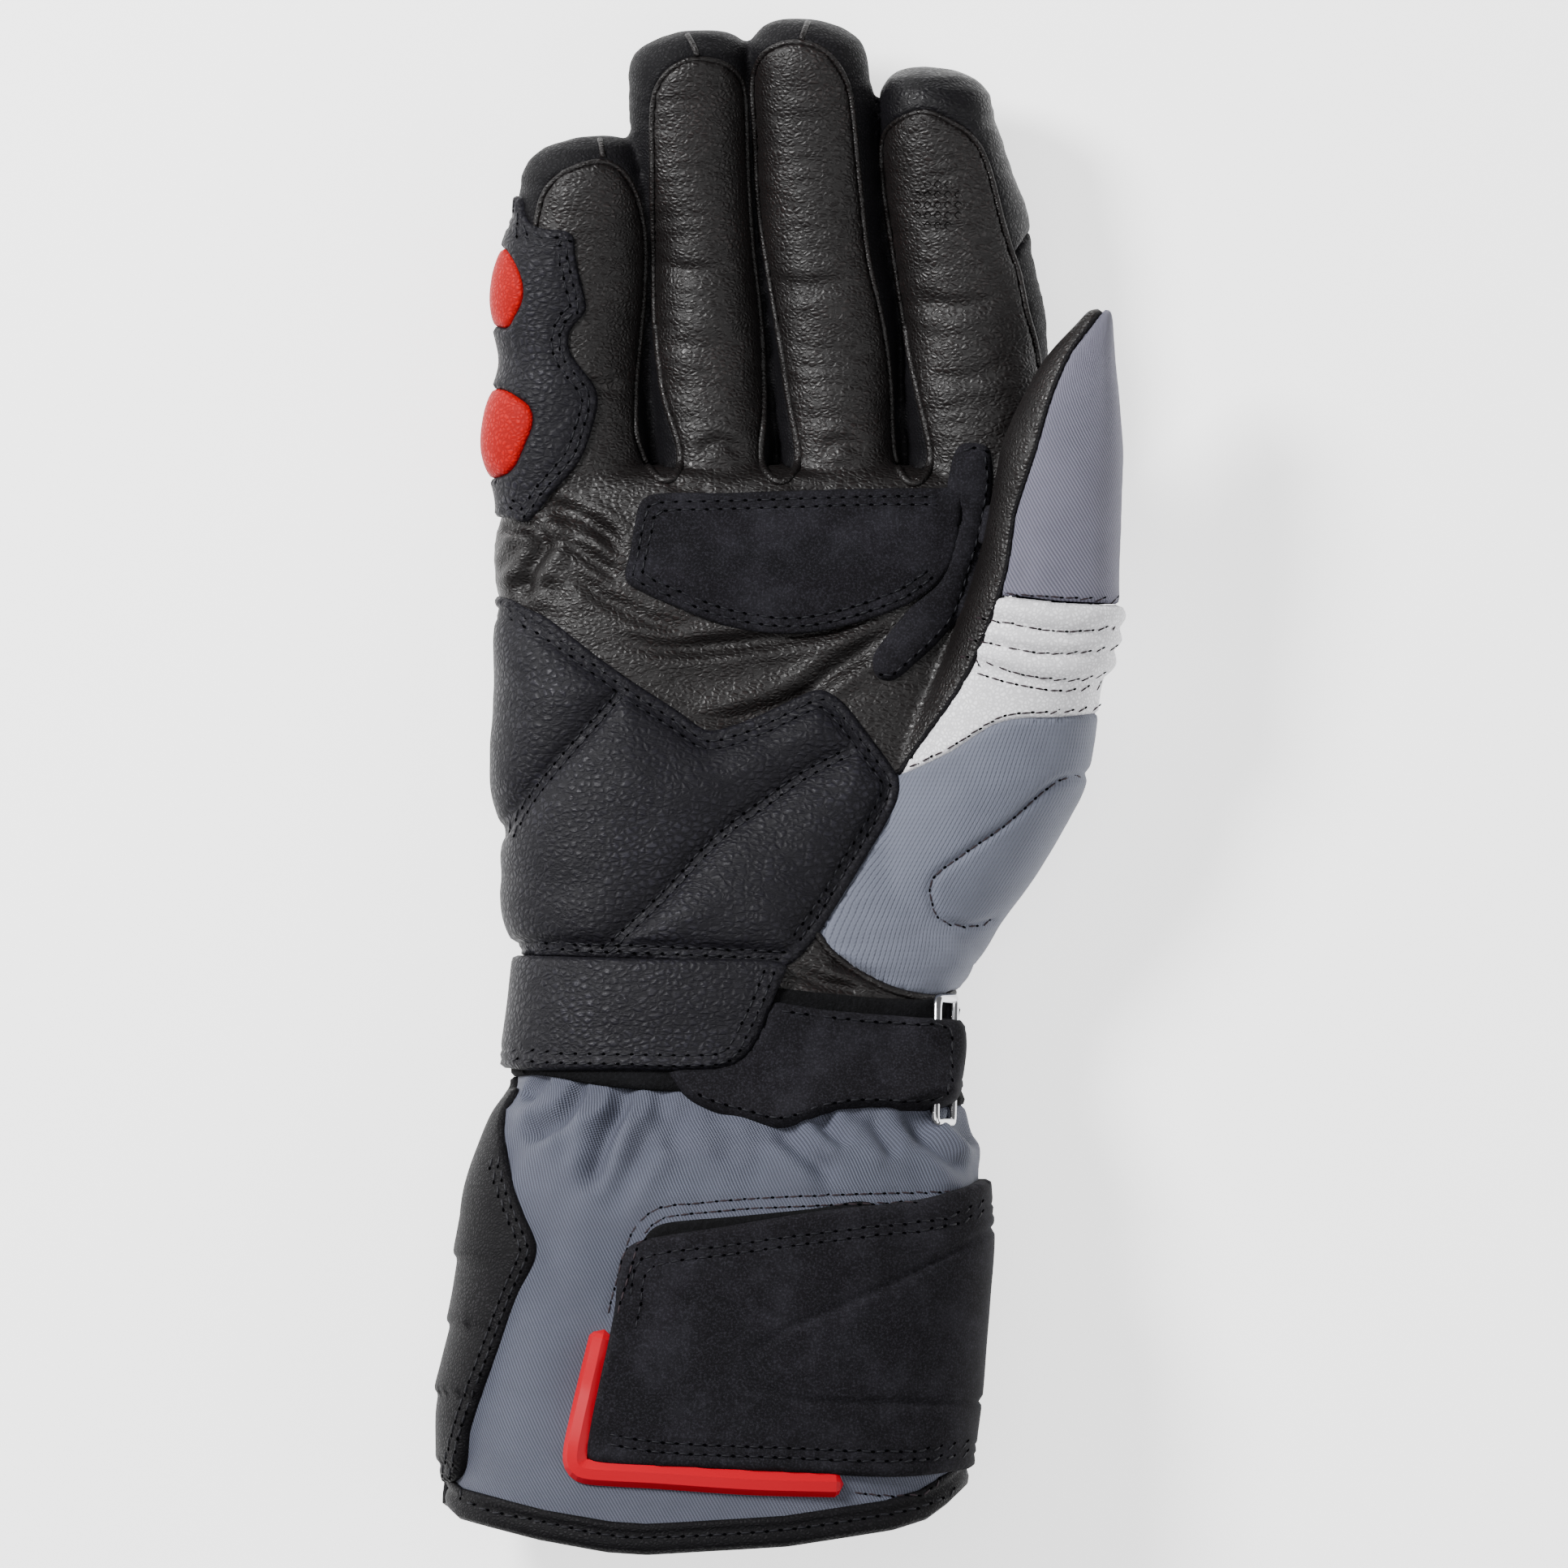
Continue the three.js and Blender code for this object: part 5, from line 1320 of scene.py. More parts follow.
class Glove:
    """The skins, bodies, panels and finishes that the operators share."""

    def __init__(self, settings):
        self.settings = settings
        self.finish = make_materials(settings)
        self.palm = Body(PALM_ROWS, PALM_ROUND)
        self.thumb = Body(THUMB_ROWS, THUMB_ROUND)
        self.trunk = Body(SLEEVE_ROWS, PALM_ROUND)
        self.fingers = [
            Body(rows, FINGER_ROUND, tip=tip, dome=dome, grow=0.45 * MM) for tip, dome, rows in FINGERS.values()
        ]
        self.form_hand()
        self.form_cuff()

    def form_hand(self):
        """The hand's skin, smooth and creased, with the leather's folds and unevenness."""
        bodies = [(self.palm, 96), (self.thumb, 64)] + [(body, 48) for body in self.fingers]
        for rows in FINGER_CONTACTS:
            tube = [(y, x - CONTACT_WIDTH, x + CONTACT_WIDTH, z, CONTACT_DEPTH) for y, x, z in rows]
            bodies.append((Body(tube, 2.0), 16))
        self.smooth = hand_skin(bodies, self.settings.fineness)
        self.label_vertices()
        self.hand = self.smooth.copy()
        spots = self.hand.places
        up = np.clip(self.hand.normals[:, 2] * 2.5, 0, 1)
        depth = crease_depth(spots[:, :2], PALM_CREASES) * up * PALM_CREASE_GAIN
        cross = unevenness(spots, (16, 3.4, 12), 7.3)
        broad = unevenness(spots, (13, 13, 13), 2.1)
        fine = unevenness(spots, (5.5, 2.1, 5.5), 11.7)
        leather = (self.label != 1) * 0.8 + 0.2
        folds = (np.abs(cross) * 0.42 + np.abs(fine) * 0.16 - 0.12) * MM * leather
        depth += folds * self.settings.wrinkles
        depth += broad * 0.45 * MM
        self.hand.press(depth)
        self.hand.lift_to(0.0)

    def form_cuff(self):
        """The cuff's lower edge follows the hem, its back lies on the table, and the wrist gathers it."""
        skin = self.cuff_smooth = Skin(mesh_from(tube_mesh(self.trunk, 400, 0.85 * MM)))
        hem_end(skin.places, plan_y(GATHER_TOP), self.trunk.low_y)
        skin.lift_to(CUFF_FLOOR)
        self.cuff = skin.copy()
        spots = self.cuff.places
        y = sheet_y(spots)
        front = np.clip(self.cuff.normals[:, 2] * 3 + 0.4, 0, 1)
        depth = crease_depth(spots[:, :2], CUFF_GATHERS) * front * GATHER_GAIN
        near_wrist = np.clip(1 - (y - 1330) / 220, 0, 1) * share_of(y, 1300, 40)
        depth += unevenness(spots, (6.5, 26, 6.5), 4.4) * 2.1 * MM * near_wrist
        depth += unevenness(spots, (26, 30, 26), 9.2) * 0.9 * MM * share_of(y, 1340, 80)
        depth = np.maximum(depth, -share_of(y, 1364, 40) * 3 * MM)
        depth += grooves(spots[:, :2], pressed(smooth_lines(CUFF_STITCHING), 0.5, 0.7)) * front
        self.cuff.press(depth * share_of(spots[:, 2], 2.4 * MM, 5 * MM))

    def label_vertices(self):
        """The body that each vertex and face of the hand belongs to: 0 palm, 1 thumb, 2 little to 5 index."""
        bodies = [self.palm, self.thumb, *self.fingers]
        self.label = np.column_stack([body.depth_in(self.smooth.places) for body in bodies]).argmin(axis=1)
        votes = np.stack([self.label[corner] for corner in self.smooth.corners.T])
        self.face_label = np.sort(votes, axis=0)[1]

    def panels(self):
        """Which faces of the hand belong to which panel."""
        skin = self.hand
        live = skin.centres[:, 1] > plan_y(1326)
        z = skin.centres[:, 2]
        fronts = smooth_line(FINGER_FRONTS, closed=True)
        thumb_side = sheet_points(THUMB_SIDE)
        skin.pull_border(skin.faces_in(fronts, low=16 * MM), fronts)
        skin.pull_border(skin.faces_in(thumb_side, low=10 * MM), smooth_line(THUMB_SEAM), closed=False)
        side = skin.faces_in(thumb_side)
        in_fronts = skin.faces_in(fronts, low=17.0 * MM)
        thumb, palm, finger = self.face_label == 1, self.face_label == 0, self.face_label >= 2
        twill = skin.faces_in(sheet_points(TWILL_FOOT + [(1460, 300), (1150, 300)]))
        upper = skin.faces_in(sheet_points(FLEX_FOOT + [(1460, 300), (1040, 300)]))
        wide_thumb = thumb | (palm & side & (z > 13 * MM))
        named = {
            "twill": thumb & side & twill,
            "flex": wide_thumb & side & upper & ~twill,
            "knit": wide_thumb & side & ~upper,
        }
        for part, foot in (("twill", TWILL_FOOT), ("knit", FLEX_FOOT)):
            skin.pull_border(named[part], smooth_line(foot), closed=False)
        rest = live & ~(named["twill"] | named["flex"] | named["knit"])
        named["palm"] = rest & ((thumb & (z > 0)) | (finger & in_fronts) | (palm & (z > 17.5 * MM)))
        named["cap"] = (self.face_label == 5) & ~in_fronts & skin.faces_in(sheet_points(CAP_OUTLINE))
        named["back"] = rest & ~named["palm"] & ~named["cap"]
        return named


def hem_end(places, top, low):
    """Stretches places along y below the top, so that those at low come to lie on the hem line."""
    hem = sheet_points(HEM_LINE)
    share = np.clip((top - places[:, 1]) / (top - low), 0, 1)
    foot = np.interp(places[:, 0], hem[:, 0], hem[:, 1])
    places[:, 1] = np.where(share > 0, top - share * (top - foot), places[:, 1])


WORK = {}


def glove():
    """The shared glove, made by the first operator that asks for it."""
    if "glove" not in WORK:
        WORK["glove"] = Glove(bpy.context.scene.gauntlet)
    return WORK["glove"]


def build_hand():
    whole = glove()
    named = whole.panels()
    skin, finish = whole.hand, whole.finish
    spots = skin.places[:, :2]
    ribs = smooth_lines(THUMB_RIBS)
    away = np.minimum.reduce(
        [line_distance(line, spots, reach=8 * MM)[0] for line in (*ribs, smooth_line(TWILL_FOOT))]
    )
    ribbed = inside(np.vstack((sheet_points(TWILL_FOOT), ribs[-1][::-1])), spots)
    rise = RIB_HEIGHT * MM * np.sqrt(share_of(away, 0, RIB_ROUND * MM))
    swell = skin.copy()
    swell.press(-swell.relax(np.where(ribbed, rise, 0), 1))
    pad = smooth_line(THUMB_PAD)
    backs = ["hand_back"] + [f"{finger}_finger_back" for finger in FINGERS]
    # Piece, its skin, its panel and finish, stitch lines, slot, replaced nodes
    panels = (
        ("palm_and_fingers", skin, "palm", "leather", (), "leather_black", ["palm_leather"]),
        ("hand_back_and_finger_backs", skin, "back", "back", (), "leather_black", backs),
        ("index_tip_cap", skin, "cap", "cap", (), "leather_grained", ["index_cap"]),
        ("thumb_twill", skin, "twill", "twill", (), "twill_grey", ["thumb_textile_panel"]),
        ("thumb_flex", swell, "flex", "white", (), "leather_white", ["thumb_flex_panel"]),
        ("thumb_base", skin, "knit", "knit", pressed([pad], 0.8, 0.8), "neoprene_grey", ["thumb_base_panel"]),
    )
    WORK["hand"] = []
    for name, under, part, material, lines, slot, nodes in panels:
        piece = sunk_panel(name, under, named[part], finish[material], lines)
        if part in ("twill", "knit"):
            lay_cloth(piece, whole.thumb)
        WORK["hand"].append(settle(piece, nodes))
    WORK["thumb lines"] = [pad, *ribs]


def patch(name, node, slot, finish, outline, thickness, low=None, back=None, holes=(), labels=None, height=None,
          lines=(), seat=0.15, edge=0.9):
    """A sewn-on patch, cut by a smoothed plan outline: on the hand above a height low, or else on the cuff.

    On the cuff, back is its outline on the side that lies on the table.
    """
    whole = glove()
    skin = (whole.cuff_smooth if low is None else whole.smooth).copy()
    line = smooth_line(outline, closed=True)
    upper = skin.centres[:, 2] > (CUFF_MIDDLE if low is None else low * MM)
    chosen = skin.faces_in(line) & upper
    if back is not None:
        chosen |= skin.faces_in(smooth_line(back, closed=True)) & ~upper
    if labels is not None:
        chosen &= np.isin(whole.face_label, labels)
    cuts = [smooth_line(hole, closed=True) for hole in holes]
    for cut in cuts:
        chosen &= ~skin.faces_in(cut)
    for border in (*cuts, line):
        skin.pull_border(chosen, border)
    puff = None if height is None else height(skin, line)
    piece = raised_patch(name, skin, chosen, thickness, whole.finish[finish], seat, edge, puff, lines)
    return settle(piece, [node])


def heel_stitching():
    """Double rows of the heel pad: along its border, both quilting lines and its foot, as sheet points."""
    rows = []
    for points, gap in ((HEEL_STITCHING, 1.6), (HEEL_QUILTING[0], 1.5), (HEEL_QUILTING[1], 1.5)):
        line = np.array(points, dtype=float)
        ahead = unit(np.gradient(line, axis=0))
        side = np.column_stack((ahead[:, 1], -ahead[:, 0])) * gap * 6
        rows += [line, line - side] if points is HEEL_STITCHING else [line + side / 2, line - side / 2]
    return rows + HEEL_FOOT_STITCHING


def guard_stitching():
    return offset_lines(smooth_line(GUARD_OUTLINE[1:-1]), -1.7, -3.3)


def soft_rise(skin, line, base, rise, width):
    """Thickness that grows from a base at the outline by a rise, most of it over a width in millimetres."""
    away, _ = line_distance(line, skin.places[:, :2], closed=True)
    return base + rise * (1 - np.exp(-away / (width * MM)))


def padded_insert(skin, line):
    return soft_rise(skin, line, 0.7, 0.9, 2.2) * MM


def folded_strip(skin, line):
    """Thickness of the folded suede strip: thick along its outer fold, thinner at its sewn side."""
    return soft_rise(skin, line, 0.9, 1.3, 2.4) * MM


def stepped_guard(skin, line):
    """Thickness of the side guard: moulded steps that grow towards its outer edge."""
    y = sheet_y(skin.places)
    ridge = np.where((y > 1500) & (y < 1810), 1.1 * (((y - 1552) % 84) / 84), 0.5)
    outer = np.clip((620 - sheet_x(skin.places)) / 40, 0, 1)
    return skin.relax(soft_rise(skin, line, 1.0, 0.9, 2.5) + ridge * outer, 2) * MM


def strap_over_ring(skin, line):
    """Thickness of the wrist strap: one layer that becomes two where it turns round the ring."""
    x = sheet_x(skin.places)
    rise, fall, end = share_of(x, 1078, 52), np.clip((1166 - x) / 26, 0, 1), np.clip((1172 - x) / 20, 0, 1)
    rise, fall, end = (share * share * (3 - 2 * share) for share in (rise, fall, end))
    return (0.5 + 1.4 * end + 4.1 * rise * fall) * MM


def quilted(skin, line):
    """Thickness of the heel pad: padded fields between its border seam and its two quilting lines."""
    spots = skin.places[:, :2]
    seams = smooth_lines([HEEL_STITCHING, *HEEL_QUILTING, HEEL_FOOT])
    away = np.minimum.reduce([line_distance(seam, spots)[0] for seam in seams])
    away = np.minimum(away, 30 * MM)
    puff = 0.9 + 3.7 * (1 - np.exp(-away / (4.6 * MM)))
    ripple = unevenness(skin.places, (9, 7, 9), 3.8) * 0.45
    border, _ = line_distance(line, spots, closed=True)
    puff = np.where(border < 3.2 * MM, np.minimum(puff, 1.0), puff + ripple * share_of(away, 0, 5 * MM))
    return skin.relax(puff, 3) * MM


def build_palm_overlays():
    suede, red = ("suede_black", "suede"), ("leather_red", "red")
    insert = {"low": 8, "height": padded_insert, "labels": (0, 2)}
    palm = patch(
        "suede_palm_patch", "palm_patch", *suede, PALM_PATCH, 1.2, 17,
        lines=pressed(smooth_lines(PATCH_STITCHING), 0.4, 0.5),
    )
    crotch = patch("thumb_crotch_strip", "thumb_crotch_patch", *suede, CROTCH_PATCH, 1.5, 12, height=folded_strip)
    pad = patch(
        "heel_pad_quilted", "heel_pad", "leather_grained", "grained", HEEL_PAD, 1.4, 6, height=quilted, edge=1.2,
        labels=(0, 1), lines=pressed(smooth_lines(heel_stitching()), 0.45, 0.55),
    )
    guard = patch(
        "little_finger_guard_leather", "little_finger_guard", "leather_black", "grained", GUARD_OUTLINE, 1.3, 6,
        holes=(UPPER_INSERT, LOWER_INSERT), labels=(0, 2), lines=pressed(guard_stitching(), 0.35, 0.45),
    )
    upper = patch("red_insert_top", "red_insert_upper", *red, UPPER_INSERT, 0.9, **insert)
    lower = patch("red_insert_foot", "red_insert_lower", *red, LOWER_INSERT, 0.9, **insert)
    WORK["overlays"] = [palm, crotch, pad, guard, upper, lower]


def build_wrist():
    grained, suede = ("leather_grained", "grained"), ("suede_black", "suede")
    band = patch(
        "wrist_loop_tape", "wrist_loop_band", "loop_black", "loop", BAND_OUTLINE, 1.2, back=BAND_OUTLINE, seat=0.2
    )
    flap = patch(
        "wrist_flap_leather", "wrist_flap", *grained, FLAP_OUTLINE, 2.1, seat=1.7, edge=1.2,
        lines=pressed(smooth_lines(FLAP_STITCHING), 0.35, 0.45),
    )
    strap = patch(
        "wrist_strap_suede", "wrist_strap", *suede, STRAP_OUTLINE, 1.9, holes=[FLAP_OUTLINE], seat=1.5, edge=1.4,
        height=strap_over_ring, lines=pressed(smooth_lines(STRAP_STITCHING), 0.35, 0.45),
    )
    settle(wire_ring(), ["wrist_ring"])
    tab = settle(ring_tab(), ["wrist_ring_tab"])
    WORK["wrist"] = [band, flap, strap, tab]


def wire_ring():
    """The closed wire loop: over the strap's outer side, down at both ends and back underneath."""
    top, middle, foot = (plan_y(y) for y in (1234, 1290, 1386))
    raised = Body(SLEEVE_ROWS, PALM_ROUND, grow=3.0 * MM)
    upper = raised.surface(np.full(5, middle), np.radians((30, 26, 22, 19, 16)))
    under = upper[::-1] + (-0.6 * MM, 0.0, 5.4 * MM)
    upper[:, 1], under[:, 1] = top, foot
    corners = np.vstack((upper, under))
    loop = []
    for a, b, c in zip(np.roll(corners, 1, axis=0), corners, np.roll(corners, -1, axis=0)):
        into, out = (b + (end - b) * min(0.4, 2.2 * MM / np.linalg.norm(end - b)) for end in (a, c))
        loop += [(1 - t) ** 2 * into + 2 * t * (1 - t) * b + t * t * out for t in np.linspace(0, 1, 6)]
    lean = math.radians(65)
    ups = np.tile((math.sin(lean), 0.0, math.cos(lean)), (len(loop), 1))
    return swept("wire_ring", np.array(loop), ups, oval(1.0, 1.0, 14), glove().finish["steel"], closed=True)


def ring_tab():
    """A folded tape whose roll goes round the ring's wire, with a tongue sewn to the cuff beside it."""
    suede, count = glove().finish["suede"], 24
    rows = np.linspace(plan_y(1244), plan_y(1326), count)
    roll, end = (
        Body(SLEEVE_ROWS, PALM_ROUND, grow=grow * MM).surface(rows, np.full(count, math.radians(angle)))
        for grow, angle in ((1.0, 15), (0.8, -13))
    )
    tongue = (roll + end) / 2
    tongue[:, 0] += 0.8 * MM
    ups = np.tile((0.0, 0.0, 1.0), (count, 1))
    parts = [
        swept("ring_tab roll", roll, ups, oval(2.1, 2.1, 14), suede),
        swept("ring_tab tongue", tongue, ups, oval(1.1, 5.2, 14), suede),
    ]
    return joined_pieces("ring_tab", parts)


def build_cuff():
    whole = glove()
    finish, skin = whole.finish, whole.cuff
    live = skin.centres[:, 1] < plan_y(1316)
    sleeve = piece_from("cuff_twill_sleeve", skin, live, skin.places, finish["cuff"], -skin.normals * 1.6 * MM)
    settle(lay_cloth(sleeve, whole.trunk, skin, whole.cuff_smooth), ["cuff_sleeve"])
    hem = settle(hem_piece(), ["hem_binding"])
    guard = patch(
        "cuff_side_leather", "cuff_side_guard", "leather_black", "back", GUARD_FRONT, 1.6, back=GUARD_BACK,
        height=stepped_guard, seat=0.2,
    )
    strap_lines = pressed(smooth_lines(CUFF_STRAP_STITCHING), 0.35, 0.45)
    strap_lines += pressed(smooth_lines(STRAP_EMBOSSING), 0.8, 0.6)
    strap = patch(
        "cuff_strap_suede", "cuff_strap", "suede_black", "suede", CUFF_STRAP_FRONT, 2.0, back=CUFF_STRAP_BACK,
        seat=0.25, edge=1.2, lines=strap_lines,
    )
    hook = patch("hook_tape", "cuff_hook_patch", "loop_black", "loop", HOOK_OUTLINE, 1.0, seat=0.1)
    WORK["cuff"] = [sleeve, hem, guard, strap, hook]
    places, ups = along_surface(top_tree(sleeve, strap), smooth_line(TRIM_LINE), step=0.9)
    trim = swept("red_moulded_trim", places, ups, TRIM_PROFILE, finish["rubber"], taper=0.02, smooth=False)
    settle(trim, ["cuff_strap_trim"])
    settle(lay_cloth(lining_piece(), whole.trunk))


def hem_piece():
    """The binding folded over the cuff's lower edge, all the way round."""
    whole = glove()
    count, low = 520, whole.trunk.low_y
    ring = whole.trunk.surface(np.full(count, low), np.linspace(2 * math.pi, 0, count + 1)[:-1])
    hem = sheet_points(HEM_LINE)
    ring[:, 1] = np.interp(ring[:, 0], hem[:, 0], hem[:, 1])
    ring[:, 2] = np.maximum(ring[:, 2], CUFF_FLOOR)
    around = headings(ring, closed=True)
    out = unit(np.column_stack((around[:, 2], np.zeros(count), -around[:, 0])))
    out *= np.sign(((ring - ring.mean(axis=0)) * out).sum(axis=1))[:, None]
    return swept("hem_leather_binding", ring, out, HEM_PROFILE, whole.finish["back"], closed=True)


def lining_piece():
    """The lining that shows through the mouth of the cuff: a long pocket, seen from inside."""
    rows = [
        (y, left + 30, right - 30, z, deep - 4.5, hollow)
        for y, left, right, z, deep, hollow in PALM_ROWS
        if 700 < y < 1150
    ]
    for y, left, right, z, deep in SLEEVE_ROWS[1:]:
        gap = 6.8 if y < 1500 else 4.8 if y < 1700 else 2.8
        rows.append((y, left + 26, right - 26, z, deep - gap))
    inner = Body(rows, PALM_ROUND)
    bm = tube_mesh(inner, 160, 2.0 * MM, floor=4.8 * MM)
    hem = sheet_points(HEM_LINE)
    top = plan_y(1700)
    for vert in bm.verts:
        share = (top - vert.co.y) / (top - inner.low_y)
        if share > 0:
            foot = float(np.interp(vert.co.x, hem[:, 0], hem[:, 1]))
            vert.co.y = top - share * (top - foot - 1.0 * MM)
    far = [edge for edge in bm.edges if edge.is_boundary and edge.verts[0].co.y > 0]
    bmesh.ops.holes_fill(bm, edges=far, sides=0)
    bmesh.ops.recalc_face_normals(bm, faces=bm.faces[:])
    bmesh.ops.reverse_faces(bm, faces=bm.faces[:])
    return object_from("cuff_lining", bm, glove().finish["lining"])


def build_stitching():
    finish = glove().finish
    hand = top_tree(*WORK["hand"])
    over = top_tree(*WORK["hand"], *WORK["overlays"])
    wrist = top_tree(*WORK["wrist"], *WORK["hand"])
    cuff = top_tree(*WORK["cuff"])
    welt("finger_seam_welts", smooth_lines([*SEAM_RUNS, *TIP_SEAMS]), 0.65, finish["leather"], hand)
    welt("crotch_loops", smooth_lines(CROTCH_LOOPS), 0.85, finish["leather"], hand)
    welt("thumb_binding", [smooth_line(THUMB_EDGE)], 0.9, finish["leather"], hand)
    welt("thumb_seam_welt", [smooth_line(THUMB_SEAM[:17])], 0.5, finish["back"], hand)
    palm_rows = smooth_lines(PATCH_STITCHING) + guard_stitching() + smooth_lines(heel_stitching())
    palm_rows += offset_lines(smooth_line(CROTCH_PATCH[:12]), -1.3)
    brown = {"thread": "dark thread", "width": 0.42}
    stitches("palm_stitches", over, palm_rows, finish)
    stitches("thumb_stitches", hand, smooth_lines(THUMB_STITCHING) + WORK["thumb lines"], finish, **brown)
    stitches("wrist_stitches", wrist, smooth_lines(FLAP_STITCHING + STRAP_STITCHING), finish)
    stitches("cuff_strap_stitches", cuff, smooth_lines(CUFF_STRAP_STITCHING), finish)
    stitches("cuff_stitches", cuff, smooth_lines(CUFF_STITCHING), finish, **brown)
    stitches("guard_stitches", cuff, offset_lines(smooth_line(GUARD_FRONT[6:-1]), -1.8, -3.4), finish)
    stitches("hem_stitches", cuff, [smooth_line(HEM_STITCHING)], finish)


def staged(name, data, place=(0.0, 0.0, 0.0)):
    """A lamp or camera that belongs to the stage."""
    item = bpy.data.objects.new(name, data)
    item.location = place
    bpy.context.scene.collection.objects.link(item)
    return item


def build_stage(settings):
    scene = bpy.context.scene
    bm = bmesh.new()
    bmesh.ops.create_grid(bm, x_segments=1, y_segments=1, size=3.0)
    glow = {"Emission_Color": (1, 1, 1, 1), "Emission_Strength": settings.floor_glow}
    floor = object_from("floor", bm, plain_material("White floor", (0.93, 0.93, 0.93, 1), 0.9, **glow))
    floor.location.z = -0.4 * MM
    world = bpy.data.worlds.new("Studio")
    world.use_nodes = True
    back = world.node_tree.nodes["Background"].inputs
    back["Color"].default_value = (1, 1, 1, 1)
    back["Strength"].default_value = settings.sky
    scene.world = world
    middle = Vector((0.0, 0.0, 0.03))
    # Lamp: place, diameter, share of the key light's power
    lamps = {
        "key": ((-0.75, 0.55, 0.85), 0.35, 1.0),
        "fill": ((0.9, -0.3, 0.9), 0.9, 0.2),
        "top": ((0.0, 0.1, 1.6), 1.0, 0.25),
    }
    for name, (place, size, share) in lamps.items():
        light = bpy.data.lights.new(name, "AREA")
        light.shape = "DISK"
        light.size = size
        light.energy = settings.key_light * share
        lamp = staged(name, light, place)
        lamp.rotation_euler = (middle - Vector(place)).to_track_quat("-Z", "Y").to_euler()
    view = bpy.data.cameras.new("camera")
    view.lens, view.sensor_width, view.clip_start, view.clip_end = 600, 36, 0.05, 20
    scene.camera = staged("camera", view, (0.0, 0.0, settings.camera_height))


def colour_setting(name, what, *shade):
    return bpy.props.FloatVectorProperty(
        name=name, description=what, default=srgb(*shade), size=4, min=0.0, max=1.0, subtype="COLOR"
    )


class GauntletSettings(bpy.types.PropertyGroup):
    """Sizes, colours and amounts of the glove's looks."""

    fineness: bpy.props.FloatProperty(
        name="Skin fineness", description="Spacing of the hand's skin in millimetres", default=0.8, min=0.5, max=2.0
    )
    wrinkles: bpy.props.FloatProperty(
        name="Wrinkles", description="How deep the leather's fine folds are", default=1.0, min=0.0, max=2.0
    )
    red: colour_setting("Red", "Colour of the padded inserts", *FINISHES["red"][2])
    white: colour_setting("White", "Colour of the thumb's ribbed leather", *FINISHES["white"][2])
    thumb_grey: colour_setting("Thumb grey", "Colour of the thumb's twill", *FINISHES["twill"][2])
    cuff_grey: colour_setting("Cuff grey", "Colour of the cuff's twill", *FINISHES["cuff"][2])
    key_light: bpy.props.FloatProperty(
        name="Key light", description="Power of the main lamp in watts", default=31.0, min=0.0, max=400.0
    )
    sky: bpy.props.FloatProperty(
        name="Sky", description="Brightness of the white surroundings", default=0.2, min=0.0, max=3.0
    )
    floor_glow: bpy.props.FloatProperty(
        name="Floor glow", description="Light that the white floor gives off", default=1.6, min=0.0, max=20.0
    )
    camera_height: bpy.props.FloatProperty(
        name="Camera height", description="Height of the camera above the table", default=5.4, min=0.5, max=9.0,
        unit="LENGTH", subtype="DISTANCE",
    )


class GAUNTLET_OT_hand(bpy.types.Operator):
    """Builds the palm, the back, the fingers and the thumb"""

    bl_idname = "gauntlet.hand"
    bl_label = "Hand panels"

    def execute(self, context):
        build_hand()
        return {"FINISHED"}


class GAUNTLET_OT_overlays(bpy.types.Operator):
    """Builds the suede patches, the heel pad and the little finger's guard"""

    bl_idname = "gauntlet.overlays"
    bl_label = "Palm overlays"

    def execute(self, context):
        build_palm_overlays()
        return {"FINISHED"}


class GAUNTLET_OT_wrist(bpy.types.Operator):
    """Builds the wrist's loop tape, flap, strap, ring and tab"""

    bl_idname = "gauntlet.wrist"
    bl_label = "Wrist closure"

    def execute(self, context):
        build_wrist()
        return {"FINISHED"}


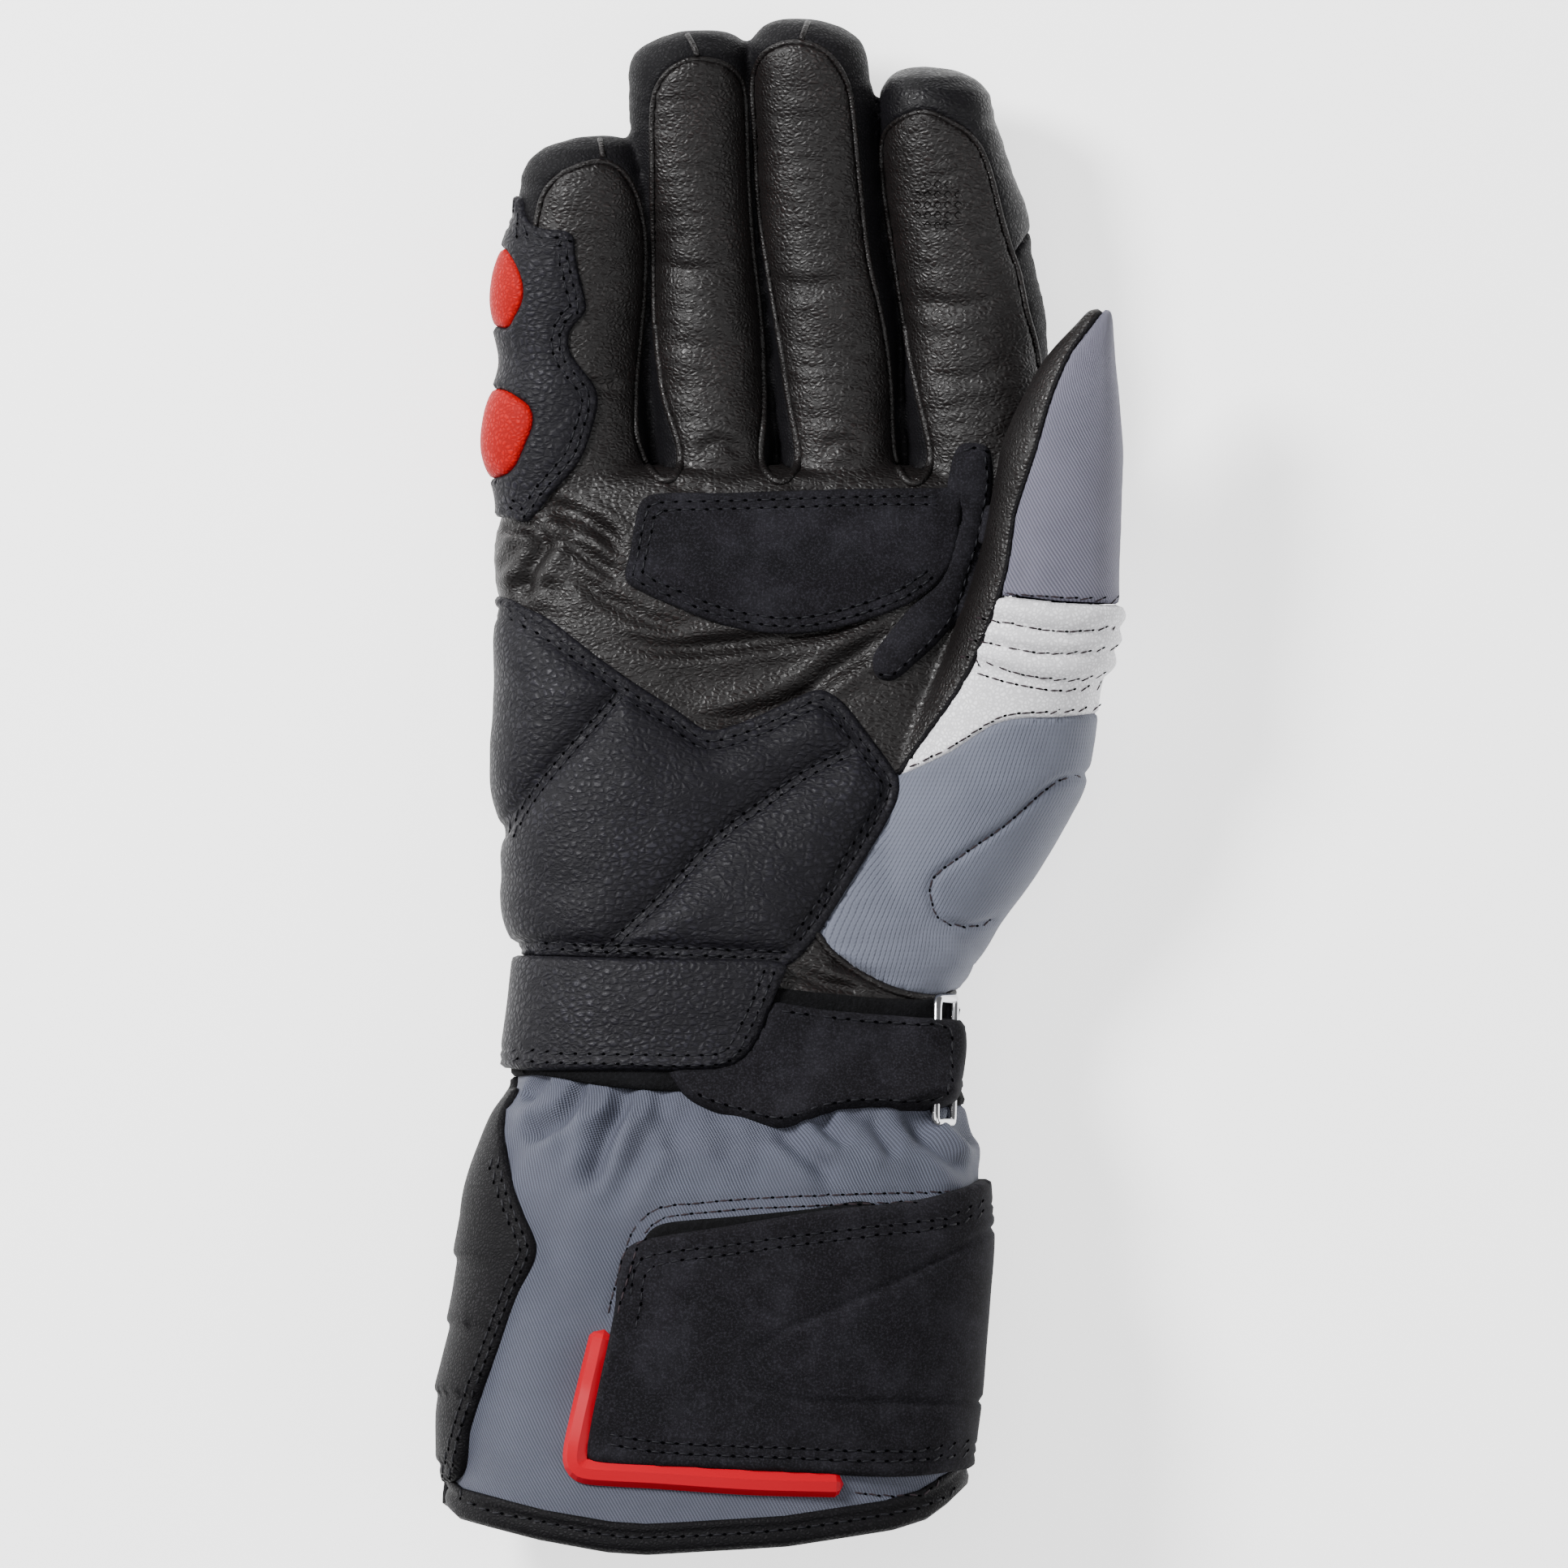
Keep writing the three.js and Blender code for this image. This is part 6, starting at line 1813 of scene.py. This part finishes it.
class GAUNTLET_OT_cuff(bpy.types.Operator):
    """Builds the cuff with its binding, guard, strap, trim and lining"""

    bl_idname = "gauntlet.cuff"
    bl_label = "Cuff"

    def execute(self, context):
        build_cuff()
        return {"FINISHED"}


class GAUNTLET_OT_stitching(bpy.types.Operator):
    """Adds the welts and stitch rows"""

    bl_idname = "gauntlet.stitching"
    bl_label = "Seams and stitching"

    def execute(self, context):
        build_stitching()
        return {"FINISHED"}


class GAUNTLET_OT_stage(bpy.types.Operator):
    """Adds the floor, the lamps and the camera"""

    bl_idname = "gauntlet.stage"
    bl_label = "Stage"

    def execute(self, context):
        build_stage(context.scene.gauntlet)
        return {"FINISHED"}


class GAUNTLET_PT_panel(bpy.types.Panel):
    """The gauntlet's steps and settings"""

    bl_idname = "GAUNTLET_PT_panel"
    bl_label = "Gauntlet"
    bl_space_type = "VIEW_3D"
    bl_region_type = "UI"
    bl_category = "Gauntlet"

    def draw(self, context):
        settings = context.scene.gauntlet
        for name in GauntletSettings.__annotations__:
            self.layout.prop(settings, name)
        for operator in OPERATORS:
            self.layout.operator(operator.bl_idname)


OPERATORS = (
    GAUNTLET_OT_hand,
    GAUNTLET_OT_overlays,
    GAUNTLET_OT_wrist,
    GAUNTLET_OT_cuff,
    GAUNTLET_OT_stitching,
    GAUNTLET_OT_stage,
)


def register():
    for kind in (GauntletSettings, *OPERATORS, GAUNTLET_PT_panel):
        bpy.utils.register_class(kind)
    bpy.types.Scene.gauntlet = bpy.props.PointerProperty(type=GauntletSettings)


def unregister():
    del bpy.types.Scene.gauntlet
    for kind in (GAUNTLET_PT_panel, *reversed(OPERATORS), GauntletSettings):
        bpy.utils.unregister_class(kind)


def main():
    register()
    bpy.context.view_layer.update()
    bpy.ops.gauntlet.hand()
    bpy.ops.gauntlet.overlays()
    bpy.ops.gauntlet.wrist()
    bpy.ops.gauntlet.cuff()
    bpy.ops.gauntlet.stitching()
    bpy.ops.gauntlet.stage()


if __name__ == "__main__":
    main()
